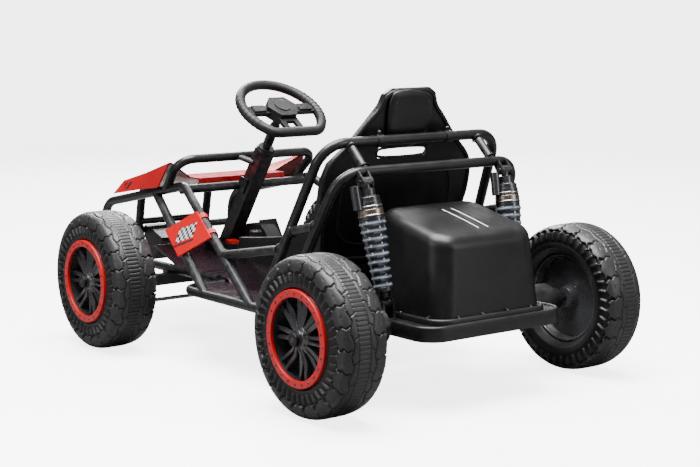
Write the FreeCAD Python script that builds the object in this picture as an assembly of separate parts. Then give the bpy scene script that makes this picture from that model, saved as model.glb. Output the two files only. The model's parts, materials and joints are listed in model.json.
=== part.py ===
import FreeCAD, Part
import math
import os

os.makedirs("parts", exist_ok=True)
V = FreeCAD.Vector

# ---------------------------------------------------------------- driving dimensions, mm
# X is the vehicle's left, -Y is forward, Z is up. The origin is on the ground, mid-length.
TYRE_R = 165.0              # outside radius of all four tyres
REAR_AXLE_Y = 510.0
FRONT_AXLE_Y = -343.0
REAR_WHEEL_X = 368.0        # tread centre of a rear wheel
FRONT_WHEEL_X = 380.0       # tread centre of a front wheel
AXLE_R = 6.0
RUN = 0.05                  # radial running clearance of a shaft in its bore
TUBE_R = 11.0               # radius of every bent frame tube

FLOOR_Z = 163.0             # centre of the floor loop's tube
FLOOR_X = 288.0
FLOOR_FRONT_Y = -120.0
FLOOR_REAR_Y = 295.0

HOOP_A_FOOT = (290.0, 200.0, 165.0)
HOOP_A_TOP = (242.0, 372.0, 531.0)
HOOP_B_FOOT = (289.0, 283.0, 165.0)
HOOP_B_TOP = (245.0, 431.0, 475.0)
HOOP_BEND = 62.0
STRUT_X = 177.0

RAIL_FOOT = (FLOOR_X, 166.0, FLOOR_Z)
RAIL_REAR = (188.0, -270.0, 384.0)
RAIL_FRONT = (198.0, -655.0, 307.0)
RAIL_LOW = (192.0, -655.0, 174.0)
RAIL_END = (190.0, FLOOR_FRONT_Y, 174.0)
POST_TOP = (190.0, -405.0, 357.0)
POST_FOOT = (287.0, -26.0, FLOOR_Z)
HOOD_FOOT = (190.0, -353.0, 367.0)
HOOD_TOP = (206.0, -271.0, 448.0)

NOSE_Y = -623.0             # the two upright nose posts
NOSE_X = 103.0
NOSE_TOP_Z = 343.0
BUMPER_Y = -655.0
BUMPER_Z = 226.0

BEAM_Z = 148.0              # front axle beam
KINGPIN_X = 285.0
KINGPIN_R = 5.0
ARM_LENGTH = 57.0           # kingpin to tie-rod ball, leading
TIE_Z = 86.0
CRANK = 31.0                # offset of the steering crank's pin

COLUMN_SLOPE = math.radians(55.4)
COLUMN_Y = -226.6           # a point on the column's axis
COLUMN_Z = 424.3
COLUMN_HALF = 18.0          # half the width of its square housing
COLUMN_LOW = 176.0          # height of the axis at the housing's ends
COLUMN_TOP = 462.0
COLUMN_GAP = 18.3           # half the width of the hole round the housing
SHAFT_R = 9.5
RIM_RADIUS = 103.0          # steering wheel, to the middle of its rim
RIM_TUBE = 10.5

PIVOT_Y = 330.0             # swing frame's pivot
PIVOT_Z = 160.0
PIVOT_R = 6.0
ARM_X = 118.0
DECK_TOP = 176.0
DECK_X = 184.0
DECK_REAR = 650.0
DECK_FRONT = 346.0

SHOCK_TOP = (194.0, 452.0, 457.0)
SHOCK_BOTTOM = (182.0, 503.0, 208.0)

SEAT_BACK_TILT = math.radians(12.7)
PEDAL_Y = -316.0            # throttle pedal's cross pin
PEDAL_Z = 186.0
KNOB_X = 12.0               # direction knob on the console
KNOB_Y = -225.0
ROCKER = (18.0, -314.0, 220.5)              # rocking axis of the power switch
ROCKER_PIN = 1.5

LUGS = 22                   # shoulder lugs round a tyre
TYRE_PROFILE = [(42, 99.6), (45.5, 103), (47, 116), (46.5, 132), (43, 149), (36, 159), (25, 163.5), (13, TYRE_R),
                (-13, TYRE_R), (-32, 163.5), (-50, 158), (-60, 149), (-65, 132), (-62, 112), (-50, 99.6)]
PAN_TOP = 168.0
PAN_T = 4.0
PAN_X = 176.0               # half width of the footwell, between the low rails
SEAT_BOX = (186.0, -48.0, 262.0, 236.0)     # half width, front, rear and top of the raised seat box


# ---------------------------------------------------------------- small helpers
def vec(p):
    return V(*p)


def unit(a, b):
    return (vec(b) - vec(a)).normalize()


def rod(a, b, r):
    """A round bar from a to b."""
    d = vec(b) - vec(a)
    return Part.makeCylinder(r, d.Length, vec(a), d)


def box(x0, x1, y0, y1, z0, z1):
    return Part.makeBox(x1 - x0, y1 - y0, z1 - z0, V(x0, y0, z0))


def longest(solids):
    """The largest of several solids, once stray slivers have been cut away."""
    return max(solids, key=lambda s: s.Volume)


def mirrored(shape):
    return shape.mirror(V(0, 0, 0), V(1, 0, 0))


def flip(p):
    return (-p[0], p[1], p[2])


def group(*shapes):
    """Separate solids that share one node."""
    return Part.makeCompound([s for shape in shapes for s in shape.Solids])


def pair(shape):
    return group(shape, mirrored(shape))


def save(name, shape):
    if not shape.isValid():
        raise ValueError(name + " is not a valid shape")
    shape.exportStep("parts/" + name + ".step")


def bent(points, bend, r):
    """A round tube along straight runs joined by tangent arcs of radius bend."""
    pts = [vec(p) for p in points]
    edges = []
    start = pts[0]
    for i in range(1, len(pts) - 1):
        to_last = (pts[i - 1] - pts[i]).normalize()
        to_next = (pts[i + 1] - pts[i]).normalize()
        half = to_last.getAngle(to_next) / 2
        radius = bend[i - 1] if isinstance(bend, (list, tuple)) else bend
        back = radius / math.tan(half)
        first, last = pts[i] + to_last * back, pts[i] + to_next * back
        inward = (to_last + to_next).normalize()
        middle = pts[i] + inward * (radius / math.sin(half) - radius)
        edges.append(Part.LineSegment(start, first).toShape())
        edges.append(Part.Arc(first, middle, last).toShape())
        start = last
    edges.append(Part.LineSegment(start, pts[-1]).toShape())
    ring = Part.Wire([Part.makeCircle(r, pts[0], pts[1] - pts[0])])
    return Part.Wire(edges).makePipeShell([ring], True, False)


def outline(points, normal_axis, depth, at):
    """A plate: 2D points in the plane across normal_axis ('x', 'y' or 'z'), extruded by depth from at."""
    place = {"x": lambda a, b: V(at, a, b), "y": lambda a, b: V(a, at, b), "z": lambda a, b: V(a, b, at)}
    out = {"x": V(depth, 0, 0), "y": V(0, depth, 0), "z": V(0, 0, depth)}
    ring = [place[normal_axis](a, b) for a, b in points]
    return Part.Face(Part.makePolygon(ring + ring[:1])).extrude(out[normal_axis])


def spun(profile, centre, axis, start):
    """A solid turned from (along, radius) points about axis through centre."""
    across = vec(start)
    ring = [vec(centre) + vec(axis) * s + across * r for s, r in profile]
    return Part.Face(Part.makePolygon(ring + ring[:1])).revolve(vec(centre), vec(axis), 360)


def rounded_ring(half_x, y0, y1, corner, z_at):
    """A closed wire: a rectangle with round corners, at height z_at(y)."""
    def p(x, y):
        return V(x, y, z_at(y))
    c, k = corner, corner * (1 - math.sqrt(0.5))
    corners = [
        ((half_x, y0 + c), (half_x - k, y0 + k), (half_x - c, y0)),
        ((-half_x + c, y0), (-half_x + k, y0 + k), (-half_x, y0 + c)),
        ((-half_x, y1 - c), (-half_x + k, y1 - k), (-half_x + c, y1)),
        ((half_x - c, y1), (half_x - k, y1 - k), (half_x, y1 - c)),
    ]
    edges = []
    for i, (a, m, b) in enumerate(corners):
        edges.append(Part.Arc(p(*a), p(*m), p(*b)).toShape())
        edges.append(Part.LineSegment(p(*b), p(*corners[(i + 1) % 4][0])).toShape())
    return Part.Wire(edges)


def tray(half_x, y0, y1, corner, z0, z1):
    ring = rounded_ring(half_x, y0, y1, corner, lambda y: z0)
    return Part.Face(ring).extrude(V(0, 0, z1 - z0))


def column_point(z):
    """The point of the steering column's axis at height z."""
    return (0.0, COLUMN_Y + (z - COLUMN_Z) / math.tan(COLUMN_SLOPE), z)


COLUMN_AXIS = V(0, math.cos(COLUMN_SLOPE), math.sin(COLUMN_SLOPE))
COLUMN_REAR = V(0, math.sin(COLUMN_SLOPE), -math.cos(COLUMN_SLOPE))
WHEEL_CENTRE = vec(column_point(566.0))


def on_wheel(shape):
    """Place a shape drawn flat about the origin (+Y to the wheel's bottom) on the steering wheel."""
    turned = shape.copy()
    turned.Placement = FreeCAD.Placement(WHEEL_CENTRE, FreeCAD.Rotation(V(1, 0, 0), COLUMN_REAR, COLUMN_AXIS))
    return turned


# ---------------------------------------------------------------- welded frame
floor_loop = bent(
    [(FLOOR_X, FLOOR_REAR_Y, FLOOR_Z), (FLOOR_X, FLOOR_FRONT_Y, FLOOR_Z),
     (-FLOOR_X, FLOOR_FRONT_Y, FLOOR_Z), (-FLOOR_X, FLOOR_REAR_Y, FLOOR_Z)], 45, TUBE_R)
rear_tube = rod((-FLOOR_X, FLOOR_REAR_Y - 12, FLOOR_Z), (FLOOR_X, FLOOR_REAR_Y - 12, FLOOR_Z), TUBE_R)


def pivot_parts():
    """The floor loop's rear tube, and the swing frame's pivot bolt on two plates."""
    rear = rear_tube.cut(floor_loop)
    plate = outline([(FLOOR_REAR_Y - 12, FLOOR_Z + 9), (FLOOR_REAR_Y - 12, FLOOR_Z - 9),
                     (PIVOT_Y + 10, PIVOT_Z - 9), (PIVOT_Y + 10, PIVOT_Z + 9)], "x", 6, 156)
    bolt = rod((-168, PIVOT_Y, PIVOT_Z), (168, PIVOT_Y, PIVOT_Z), PIVOT_R)
    plate = longest(plate.cut(rear_tube).cut(bolt).Solids)
    return group(rear, pair(plate), bolt)


def hoop(foot, top):
    tube = bent([foot, top, flip(top), flip(foot)], HOOP_BEND, TUBE_R)
    return longest(tube.cut(floor_loop).cut(rear_tube).Solids)


hoop_a = hoop(HOOP_A_FOOT, HOOP_A_TOP)
hoop_b = hoop(HOOP_B_FOOT, HOOP_B_TOP)


def shock_lugs():
    """Two ears round each shock's top eye, welded under the rear hoop."""
    x, y, z = SHOCK_TOP
    ears = []
    for inner in (x - 13.5, x + 9.5):
        ear = outline([(y - 30, z + 22), (y - 8, z + 22), (y + 11, z + 2), (y + 11, z - 10), (y - 8, z - 12)],
                      "x", 4, inner)
        ears.append(ear.cut(rod((x - 20, y, z), (x + 20, y, z), 4.0)).cut(hoop_b))
    bolt = rod((x - 18, y, z), (x + 18, y, z), 4.0)
    return pair(group(*ears)), pair(bolt)


def frame_hoops():
    """Two hoops behind the seat, with the struts between them and the pieces that hold the swing frame."""
    strut = rod((STRUT_X, HOOP_A_TOP[1], HOOP_A_TOP[2]), (STRUT_X, HOOP_B_TOP[1], HOOP_B_TOP[2]), 9.5)
    strut = longest(strut.cut(hoop_a).cut(hoop_b).Solids)
    ears, bolts = shock_lugs()
    save("frame_hoop_front", hoop_a)
    save("frame_hoop_rear", hoop_b)
    save("frame_rear_braces", group(pivot_parts(), pair(strut), ears, bolts))


rail_left = bent([RAIL_FOOT, RAIL_REAR, RAIL_FRONT, RAIL_LOW, RAIL_END], [42, 58, 45], TUBE_R)
rail_left = longest(rail_left.cut(floor_loop).Solids)
post_left = longest(rod(POST_TOP, POST_FOOT, TUBE_R).cut(rail_left).cut(floor_loop).Solids)


def frame_rails():
    save("frame_rail_left", rail_left)
    save("frame_rail_right", mirrored(rail_left))


def side_bars():
    """Left panel post, and on both sides a bar from post to front hoop and one on to the rear hoop."""
    front = rod((247.8, -9.5, 252), (272.2, 263.6, 300.4), 10.5).cut(rail_left).cut(hoop_a)
    rear = rod((267.0, 282.6, 340.7), (261.1, 378.1, 361.8), 10.5).cut(hoop_a).cut(hoop_b)
    return group(pair(longest(front.Solids)), pair(longest(rear.Solids)), post_left)


def frame_hood():
    """Hoop over the hood, and the cross tube, struts and gussets that hold the steering column to it."""
    rails = rail_left.fuse(mirrored(rail_left))
    arch = bent([HOOD_FOOT, HOOD_TOP, flip(HOOD_TOP), flip(HOOD_FOOT)], 40, TUBE_R)
    arch = longest(arch.cut(rails).Solids)
    column = column_block(COLUMN_HALF, COLUMN_LOW, COLUMN_TOP)
    cross = longest(rod((-188, -288, 373), (188, -288, 373), TUBE_R).cut(rails).cut(column).Solids)
    strut = rod((34, -269, 447), (14, -228, 433), 7).cut(arch)
    gusset = outline([(-290, 378), (-272, 396), (-243, 389), (-268, 354), (-286, 361)], "x", 4,
                     COLUMN_HALF).cut(cross)
    strut = longest(strut.cut(column).Solids)
    gusset = longest(gusset.Solids)
    save("frame_hood_hoop", arch)
    save("frame_side_braces", group(side_bars(), cross, pair(strut), pair(gusset)))


def frame_nose():
    rails = rail_left.fuse(mirrored(rail_left))
    bumper = longest(rod((-196, BUMPER_Y, BUMPER_Z), (196, BUMPER_Y, BUMPER_Z), 10).cut(rails).Solids)
    low = NOSE_Y - 24
    arch = bent([(NOSE_X, low, BUMPER_Z), (NOSE_X, NOSE_Y, NOSE_TOP_Z), (-NOSE_X, NOSE_Y, NOSE_TOP_Z),
                 (-NOSE_X, low, BUMPER_Z)], 26, TUBE_R)
    arch = longest(arch.cut(bumper).Solids)
    brace = rod((-NOSE_X, NOSE_Y - 15, 251), (NOSE_X, NOSE_Y - 15, 251), 9).cut(arch).cut(bumper)
    save("frame_nose", group(bumper, arch, longest(brace.Solids)))


# ---------------------------------------------------------------- front axle and steering
def front_beam():
    """Square beam under the low rails, with a kingpin sleeve at each end."""
    half = 13.0
    end = KINGPIN_X - 13
    beam = box(-end, end, FRONT_AXLE_Y - half, FRONT_AXLE_Y + half, BEAM_Z - half, BEAM_Z + half)
    for side in (-1, 1):
        sleeve = rod((side * KINGPIN_X, FRONT_AXLE_Y, 128), (side * KINGPIN_X, FRONT_AXLE_Y, 190), 14)
        beam = beam.fuse(sleeve)
    for side in (-1, 1):
        beam = beam.cut(rod((side * KINGPIN_X, FRONT_AXLE_Y, 100), (side * KINGPIN_X, FRONT_AXLE_Y, 220),
                            KINGPIN_R + RUN))
    saddle = box(180, 204, FRONT_AXLE_Y - 12, FRONT_AXLE_Y + 12, BEAM_Z + half, 170)
    save("front_beam", group(beam, pair(longest(saddle.cut(rail_left).Solids))))


def knuckle():
    """C-shaped bracket round the kingpin sleeve, with its stub axle, kingpin and leading arm."""
    x, y = KINGPIN_X, FRONT_AXLE_Y
    top = box(x - 12, x + 24, y - 12, y + 12, 190.5, 195.5)
    base = box(x - 12, x + 24, y - 12, y + 12, 122.5, 127.5)
    web = box(x + 17, x + 24, y - 12, y + 12, 122.5, 195.5)
    stub = rod((x + 20, y, TYRE_R), (x + 150, y, TYRE_R), AXLE_R)
    arm_end = (KINGPIN_X, y - ARM_LENGTH, 0)
    arm = outline([(x + 12, y + 4), (x - 12, y + 4), (arm_end[0] - 10, arm_end[1] - 8),
                   (arm_end[0] + 10, arm_end[1] - 8)], "z", 5, 117.5)
    ball = rod((arm_end[0], arm_end[1], TIE_Z - 8), (arm_end[0], arm_end[1], 117.5), 5)
    pin = rod((x, y, 117.5), (x, y, 200), KINGPIN_R)
    washer = rod((x + 28, y, TYRE_R), (x + 34, y, TYRE_R), 12)
    bracket = top.fuse(base).fuse(web).fuse(stub).fuse(arm).fuse(ball).fuse(pin).fuse(washer)
    return bracket.removeSplitter()


def tie_rod():
    """One rod from knuckle to knuckle, with an eye at each end and a slotted plate ahead for the crank."""
    y = FRONT_AXLE_Y - ARM_LENGTH
    bar = rod((-KINGPIN_X, y, TIE_Z), (KINGPIN_X, y, TIE_Z), 5)
    for side in (-1, 1):
        bar = bar.fuse(rod((side * KINGPIN_X, y, TIE_Z - 6), (side * KINGPIN_X, y, TIE_Z + 6), 9))
    pin_y = column_point(TIE_Z)[1] - CRANK / math.sin(COLUMN_SLOPE)
    plate = box(-24, 24, pin_y - 20, y + 4, TIE_Z - 3, TIE_Z + 3)
    bar = bar.fuse(plate)
    for side, clearance in ((1, RUN), (-1, 0.6)):
        bar = bar.cut(rod((side * KINGPIN_X, y, TIE_Z - 12), (side * KINGPIN_X, y, TIE_Z + 12), 5 + clearance))
    slot = box(-5.6, 5.6, pin_y - 8, pin_y + 16, TIE_Z - 12, TIE_Z + 12)
    return bar.cut(slot).removeSplitter()


def column_block(half, z_low, z_high):
    """A square bar along the column's axis, half its width, between two heights of the axis."""
    low, high = vec(column_point(z_low)), vec(column_point(z_high))
    block = Part.makeBox(2 * half, 2 * half, (high - low).Length, V(-half, -half, 0))
    block.Placement = FreeCAD.Placement(low, FreeCAD.Rotation(V(1, 0, 0), COLUMN_REAR, COLUMN_AXIS))
    return block


def column_parts():
    low, high = column_point(COLUMN_LOW), column_point(COLUMN_TOP)
    top = column_point(COLUMN_TOP + 12)
    housing = column_block(COLUMN_HALF, COLUMN_LOW, COLUMN_TOP).cut(rod(column_point(150), column_point(500), 14))
    save("column_housing", housing)
    bore = rod(column_point(140), column_point(520), SHAFT_R + RUN)
    bush_low = rod(low, column_point(190), 14).cut(bore)
    bush_high = rod(column_point(448), high, 14).cut(bore)
    collar = rod(high, top, 19).cut(bore)
    save("steering_bushes", group(bush_low, bush_high.fuse(collar).removeSplitter()))


def steering_shaft():
    """Shaft with a forward crank at its foot, whose pin works in the tie rod's slot."""
    bottom = vec(column_point(120))
    elbow = bottom - COLUMN_REAR * CRANK
    shaft = rod(column_point(120), column_point(552), SHAFT_R)
    web = Part.makeBox(10, CRANK + 14, 8, V(-5, -7, 0))
    web.Placement = FreeCAD.Placement(elbow + COLUMN_AXIS * 3, FreeCAD.Rotation(V(1, 0, 0), COLUMN_REAR, COLUMN_AXIS))
    pin = Part.makeCylinder(4, 90, elbow + COLUMN_AXIS * 8, COLUMN_AXIS * -1)
    save("steering_shaft", shaft.fuse(web).fuse(pin).removeSplitter())


def rim_half():
    """Right half of the rim's tube: a long arc, a fillet and the flat at the bottom."""
    fillet = 30.0
    reach = RIM_RADIUS - fillet
    flat_y = 84.0
    cy = flat_y - fillet
    cx = math.sqrt(reach ** 2 - cy ** 2)
    join = math.atan2(cy, cx)
    half = (join - math.pi / 2) / 2
    turn = (join + math.pi / 2) / 2

    def on_arc(a):
        return V(RIM_RADIUS * math.cos(a), RIM_RADIUS * math.sin(a), 0)

    def on_fillet(a):
        return V(cx + fillet * math.cos(a), cy + fillet * math.sin(a), 0)
    edges = [Part.Arc(on_arc(-math.pi / 2), on_arc(half), on_arc(join)).toShape(),
             Part.Arc(on_fillet(join), on_fillet(turn), on_fillet(math.pi / 2)).toShape(),
             Part.LineSegment(V(cx, flat_y, 0), V(0, flat_y, 0)).toShape()]
    ring = Part.Wire([Part.makeCircle(RIM_TUBE, V(0, -RIM_RADIUS, 0), V(1, 0, 0))])
    return Part.Wire(edges).makePipeShell([ring], True, False)


def steering_wheel():
    half = rim_half()
    rim = half.fuse(mirrored(half)).removeSplitter()
    hub = Part.Face(Part.makePolygon([V(44 * math.cos(a), 40 * math.sin(a), -14) for a in
                                      [math.radians(60 * k) for k in range(7)]])).extrude(V(0, 0, 28))
    spokes = box(-98, 98, -16, 12, -6, 4)
    legs = box(-26, 26, 20, 80, -6, 3).cut(box(-12, 12, 44, 66, -10, 10))
    core = hub.fuse(spokes).fuse(legs).cut(rim).cut(rod((0, -2, 8), (0, -2, 20), 20.4)).removeSplitter()
    core = core.cut(rod((0, 0, -20), (0, 0, -13.5), SHAFT_R + 1))
    pads = [box(side * 66 - 17, side * 66 + 17, -13, 9, 4, 9) for side in (-1, 1)]
    save("steering_rim", on_wheel(rim))
    save("steering_hub", on_wheel(group(core, *pads)))
    save("horn_button", on_wheel(rod((0, -2, 10.5), (0, -2, 16.5), 20)))


# ---------------------------------------------------------------- wheels
def tyre(side):
    """Blow-moulded tyre for the side of +X (1) or -X (-1), centred on the origin."""
    axis = (side, 0, 0)
    body = spun(TYRE_PROFILE, (0, 0, 0), axis, (0, 0, 1))
    cutters = []
    for k in range(LUGS):
        for edge in (-1, 1):
            groove = box(min(edge * 17, edge * 70), max(edge * 17, edge * 70), -2.5, 2.5, TYRE_R - 9, TYRE_R + 5)
            groove.rotate(V(0, 0, 0), V(1, 0, 0), 360 / LUGS * (k + (0.5 if edge > 0 else 0)))
            cutters.append(groove)
    return body.cut(Part.makeCompound(cutters))


def rim(side):
    axis = (side, 0, 0)
    profile = [(44, AXLE_R + RUN), (44, 24), (36, 27), (27, 34), (23, 76), (30, 80), (42, 80), (42, 99.4),
               (-46, 99.4), (-46, 94), (-40, 92), (-36, 34), (-42, 30), (-42, AXLE_R + RUN)]
    inner = [(14, 34), (16, 86), (-28, 86), (-26, 34)]
    body = spun(profile, (0, 0, 0), axis, (0, 0, 1)).cut(spun(inner, (0, 0, 0), axis, (0, 0, 1)))
    windows = []
    for k in range(8):
        wedge = outline([(-8, 40), (8, 40), (15, 72), (-15, 72)], "x", 34 * side, 12 * side)
        wedge.rotate(V(0, 0, 0), V(1, 0, 0), 45 * k + 22.5)
        windows.append(wedge)
    return body.cut(Part.makeCompound(windows))


def ring(side):
    axis = (side, 0, 0)
    body = spun([(42.05, 80), (49.5, 79), (49.5, 99), (42.05, 99.4)], (0, 0, 0), axis, (0, 0, 1))
    holes = []
    for k in range(24):
        hole = rod((side * 46, 0, 89), (side * 60, 0, 89), 2.2)
        hole.rotate(V(0, 0, 0), V(1, 0, 0), 15 * k)
        holes.append(hole)
    return body.cut(Part.makeCompound(holes))


def wheels():
    places = {"front_left": (1, FRONT_WHEEL_X, FRONT_AXLE_Y), "front_right": (-1, FRONT_WHEEL_X, FRONT_AXLE_Y),
              "rear_left": (1, REAR_WHEEL_X, REAR_AXLE_Y), "rear_right": (-1, REAR_WHEEL_X, REAR_AXLE_Y)}
    blanks = {side: {"tyre": tyre(side), "rim": rim(side), "ring": ring(side)} for side in (1, -1)}
    for name, (side, x, y) in places.items():
        for piece, shape in blanks[side].items():
            copy = shape.copy()
            copy.translate(V(side * x, y, TYRE_R))
            save("wheel_" + name + "_" + piece, copy)


def wheel_nut():
    """The nut on the end of a front stub axle."""
    end = KINGPIN_X + 150
    nut = rod((end - 10.5, FRONT_AXLE_Y, TYRE_R), (end - 1, FRONT_AXLE_Y, TYRE_R), 11)
    return nut.cut(rod((end - 20, FRONT_AXLE_Y, TYRE_R), (end + 5, FRONT_AXLE_Y, TYRE_R), AXLE_R))


# ---------------------------------------------------------------- rear swing frame and drive
def swing_frame():
    tube = rod((-150, PIVOT_Y, PIVOT_Z), (150, PIVOT_Y, PIVOT_Z), 11)
    arm = box(ARM_X - 10, ARM_X + 10, PIVOT_Y, 560, 147, 171.5)
    frame = tube.fuse(arm).fuse(mirrored(arm))
    cross = box(-ARM_X, ARM_X, 556, 576, 147, 171.5)
    frame = frame.fuse(cross)
    frame = frame.cut(rod((-160, PIVOT_Y, PIVOT_Z), (160, PIVOT_Y, PIVOT_Z), PIVOT_R + RUN))
    frame = frame.cut(rod((-160, REAR_AXLE_Y, TYRE_R), (160, REAR_AXLE_Y, TYRE_R), AXLE_R))
    return frame.removeSplitter()


def deck():
    """Moulded deck tray, open underneath, that covers the swing frame's rear."""
    shell = tray(DECK_X, DECK_FRONT, DECK_REAR, 34, 148, DECK_TOP)
    hollow = tray(DECK_X - 5, DECK_FRONT + 5, DECK_REAR - 5, 30, 140, DECK_TOP - 4.3)
    shell = shell.cut(hollow)
    shell = shell.cut(box(-ARM_X - 12, -ARM_X + 12, DECK_FRONT - 5, DECK_FRONT + 20, 140, 171.7))
    shell = shell.cut(box(ARM_X - 12, ARM_X + 12, DECK_FRONT - 5, DECK_FRONT + 20, 140, 171.7))
    for side in (-1, 1):
        shell = shell.cut(rod((side * 170, REAR_AXLE_Y, TYRE_R), (side * 200, REAR_AXLE_Y, TYRE_R), 7))
    return shell


def shock_foot():
    """Ears on the deck that hold a shock's lower eye."""
    x, y, z = SHOCK_BOTTOM
    ears = []
    for inner in (x - 14.5, x + 10.5):
        ear = outline([(y - 16, DECK_TOP), (y + 16, DECK_TOP), (y + 9, z + 9), (y - 9, z + 9)], "x", 4, inner)
        ears.append(ear)
    base = box(x - 14.5, DECK_X - 0.5, y - 16, y + 16, DECK_TOP, DECK_TOP + 3)
    outer = box(DECK_X - 0.5, x + 14.5, y - 16, y + 16, DECK_TOP, DECK_TOP + 3)
    foot = ears[0].fuse(ears[1]).fuse(base).fuse(outer)
    bolt = rod((x - 18, y, z), (x + 18, y, z), 4)
    return foot.cut(bolt).removeSplitter(), bolt


def motor_cover():
    """The tall moulded cover with its bolted flange."""
    def top_z(y):
        return 391.0 - (y - 445) * 0.236
    body = Part.makeLoft([rounded_ring(142, 398, 630, 34, lambda y: DECK_TOP),
                          rounded_ring(117, 445, 612, 34, top_z)], True)
    body = body.makeFillet(20, [e for e in body.Edges if e.BoundBox.ZMin > 320])
    hollow = Part.makeLoft([rounded_ring(137, 404, 624, 30, lambda y: DECK_TOP - 1),
                            rounded_ring(111, 452, 605, 30, lambda y: top_z(y) - 8)], True)
    flange = tray(152, 388, 640, 30, DECK_TOP, 190)
    lip = tray(137, 404, 624, 30, DECK_TOP - 1, 192)
    shell = body.fuse(flange).cut(hollow).cut(lip)
    save("motor_cover", shell.removeSplitter())


def cover_bolts():
    """Bolts round the cover's flange."""
    bolts = [rod((x, 634, 190), (x, 634, 193), 4) for x in (-100, -34, 34, 100)]
    bolts += [rod((side * 147, y, 190), (side * 147, y, 193), 3.5) for side in (-1, 1) for y in (430, 600)]
    return bolts


def battery():
    case = box(-75, 75, 450, 590, 177, 262)
    lid = box(-75, 75, 450, 590, 262, 274)
    posts = [rod((side * 50, 475, 274), (side * 50, 475, 282), 6) for side in (-1, 1)]
    save("battery", group(case.fuse(lid).removeSplitter(), *posts))


def drive_unit():
    """Gearbox with its motor lying forward, beside the deck."""
    casing = rod((204, REAR_AXLE_Y, TYRE_R), (268, REAR_AXLE_Y, TYRE_R), 38)
    neck = rod((268, REAR_AXLE_Y, TYRE_R), (300, REAR_AXLE_Y, TYRE_R), 24)
    box_body = box(204, 252, REAR_AXLE_Y - 88, REAR_AXLE_Y, TYRE_R - 30, TYRE_R + 26)
    casing = casing.fuse(neck).fuse(box_body)
    casing = casing.cut(rod((190, REAR_AXLE_Y, TYRE_R), (310, REAR_AXLE_Y, TYRE_R), AXLE_R)).removeSplitter()
    motor = rod((252, REAR_AXLE_Y - 60, TYRE_R), (298, REAR_AXLE_Y - 60, TYRE_R), 18)
    plate = box(DECK_X, 204, REAR_AXLE_Y - 70, REAR_AXLE_Y + 30, 150, DECK_TOP - 0.5)
    plate = plate.cut(rod((170, REAR_AXLE_Y, TYRE_R), (210, REAR_AXLE_Y, TYRE_R), AXLE_R))
    return casing, motor, plate


def rear_end():
    foot, bolt = shock_foot()
    save("deck", deck())
    save("swing_frame", group(swing_frame(), pair(foot)))
    casing, motor, plate = drive_unit()
    for name, turn in (("left", lambda s: s), ("right", mirrored)):
        save("gearbox_" + name, group(turn(casing), turn(plate)))
    save("drive_motors", pair(motor))
    end = REAR_WHEEL_X + 55
    axle = rod((-end, REAR_AXLE_Y, TYRE_R), (end, REAR_AXLE_Y, TYRE_R), AXLE_R)
    nut = rod((end - 10.5, REAR_AXLE_Y, TYRE_R), (end - 1, REAR_AXLE_Y, TYRE_R), 11).cut(axle)
    save("rear_axle", group(axle, pair(nut)))
    save("rear_bolts", group(*cover_bolts(), pair(bolt)))


# ---------------------------------------------------------------- shock absorbers
def shock(side):
    """Body (top), rod (bottom) and the ribbed cover over the spring, for the side of +X (1) or -X (-1)."""
    top = V(side * SHOCK_TOP[0], SHOCK_TOP[1], SHOCK_TOP[2])
    low = V(side * SHOCK_BOTTOM[0], SHOCK_BOTTOM[1], SHOCK_BOTTOM[2])
    down = (low - top).normalize()
    length = (low - top).Length
    across = V(1, 0, 0)
    out = (across - down * across.dot(down)).normalize()

    def stage(s0, s1, r):
        return Part.makeCylinder(r, s1 - s0, top + down * s0, down)

    def eye(centre, r, half):
        return Part.makeCylinder(r, 2 * half, centre - across * half, across)
    body = eye(top, 10, 9)
    for s0, s1, r in ((0, 16, 8), (15, 30, 16), (30, 42, 21), (42, 60, 25), (60, 150, 12)):
        body = body.fuse(stage(s0, s1, r))
    reservoir = Part.makeCylinder(10, 50, top + down * 6 + out * 31, down)
    link = Part.makeCylinder(6, 20, top + down * 49 + out * 12, out)
    body = body.fuse(link).fuse(reservoir).cut(eye(top, 4 + RUN, 20)).cut(stage(62, 160, 5 + RUN))
    lower = stage(120, length - 6, 5).fuse(stage(length - 34, length - 26, 21))
    lower = lower.fuse(stage(length - 26, length - 14, 13)).fuse(eye(low, 10, 9)).cut(eye(low, 5, 20))
    cover = spun(cover_ribs(length), tuple(top), tuple(down), tuple(out))
    return {"body": body.removeSplitter(), "rod": lower.removeSplitter(), "spring": cover}


def cover_ribs(length):
    """Section of the ribbed cover, from the spring's upper perch to its lower one."""
    count = 9
    first, last = 60.5, length - 34.5
    wide, narrow = 29.5, 20.5
    pitch = (last - first) / count
    ribs = [(first, 15)]
    for k in range(count):
        r = wide - (wide - narrow) * k / (count - 1)
        s = first + pitch * k
        ribs += [(s, r - 2.5), (s + pitch * 0.2, r), (s + pitch * 0.65, r), (s + pitch * 0.85, r - 2.5)]
    return ribs + [(last, 18), (last, 15)]


def shocks():
    for name, side in (("left", 1), ("right", -1)):
        for piece, shape in shock(side).items():
            save("shock_" + name + "_" + piece, shape)


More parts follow.
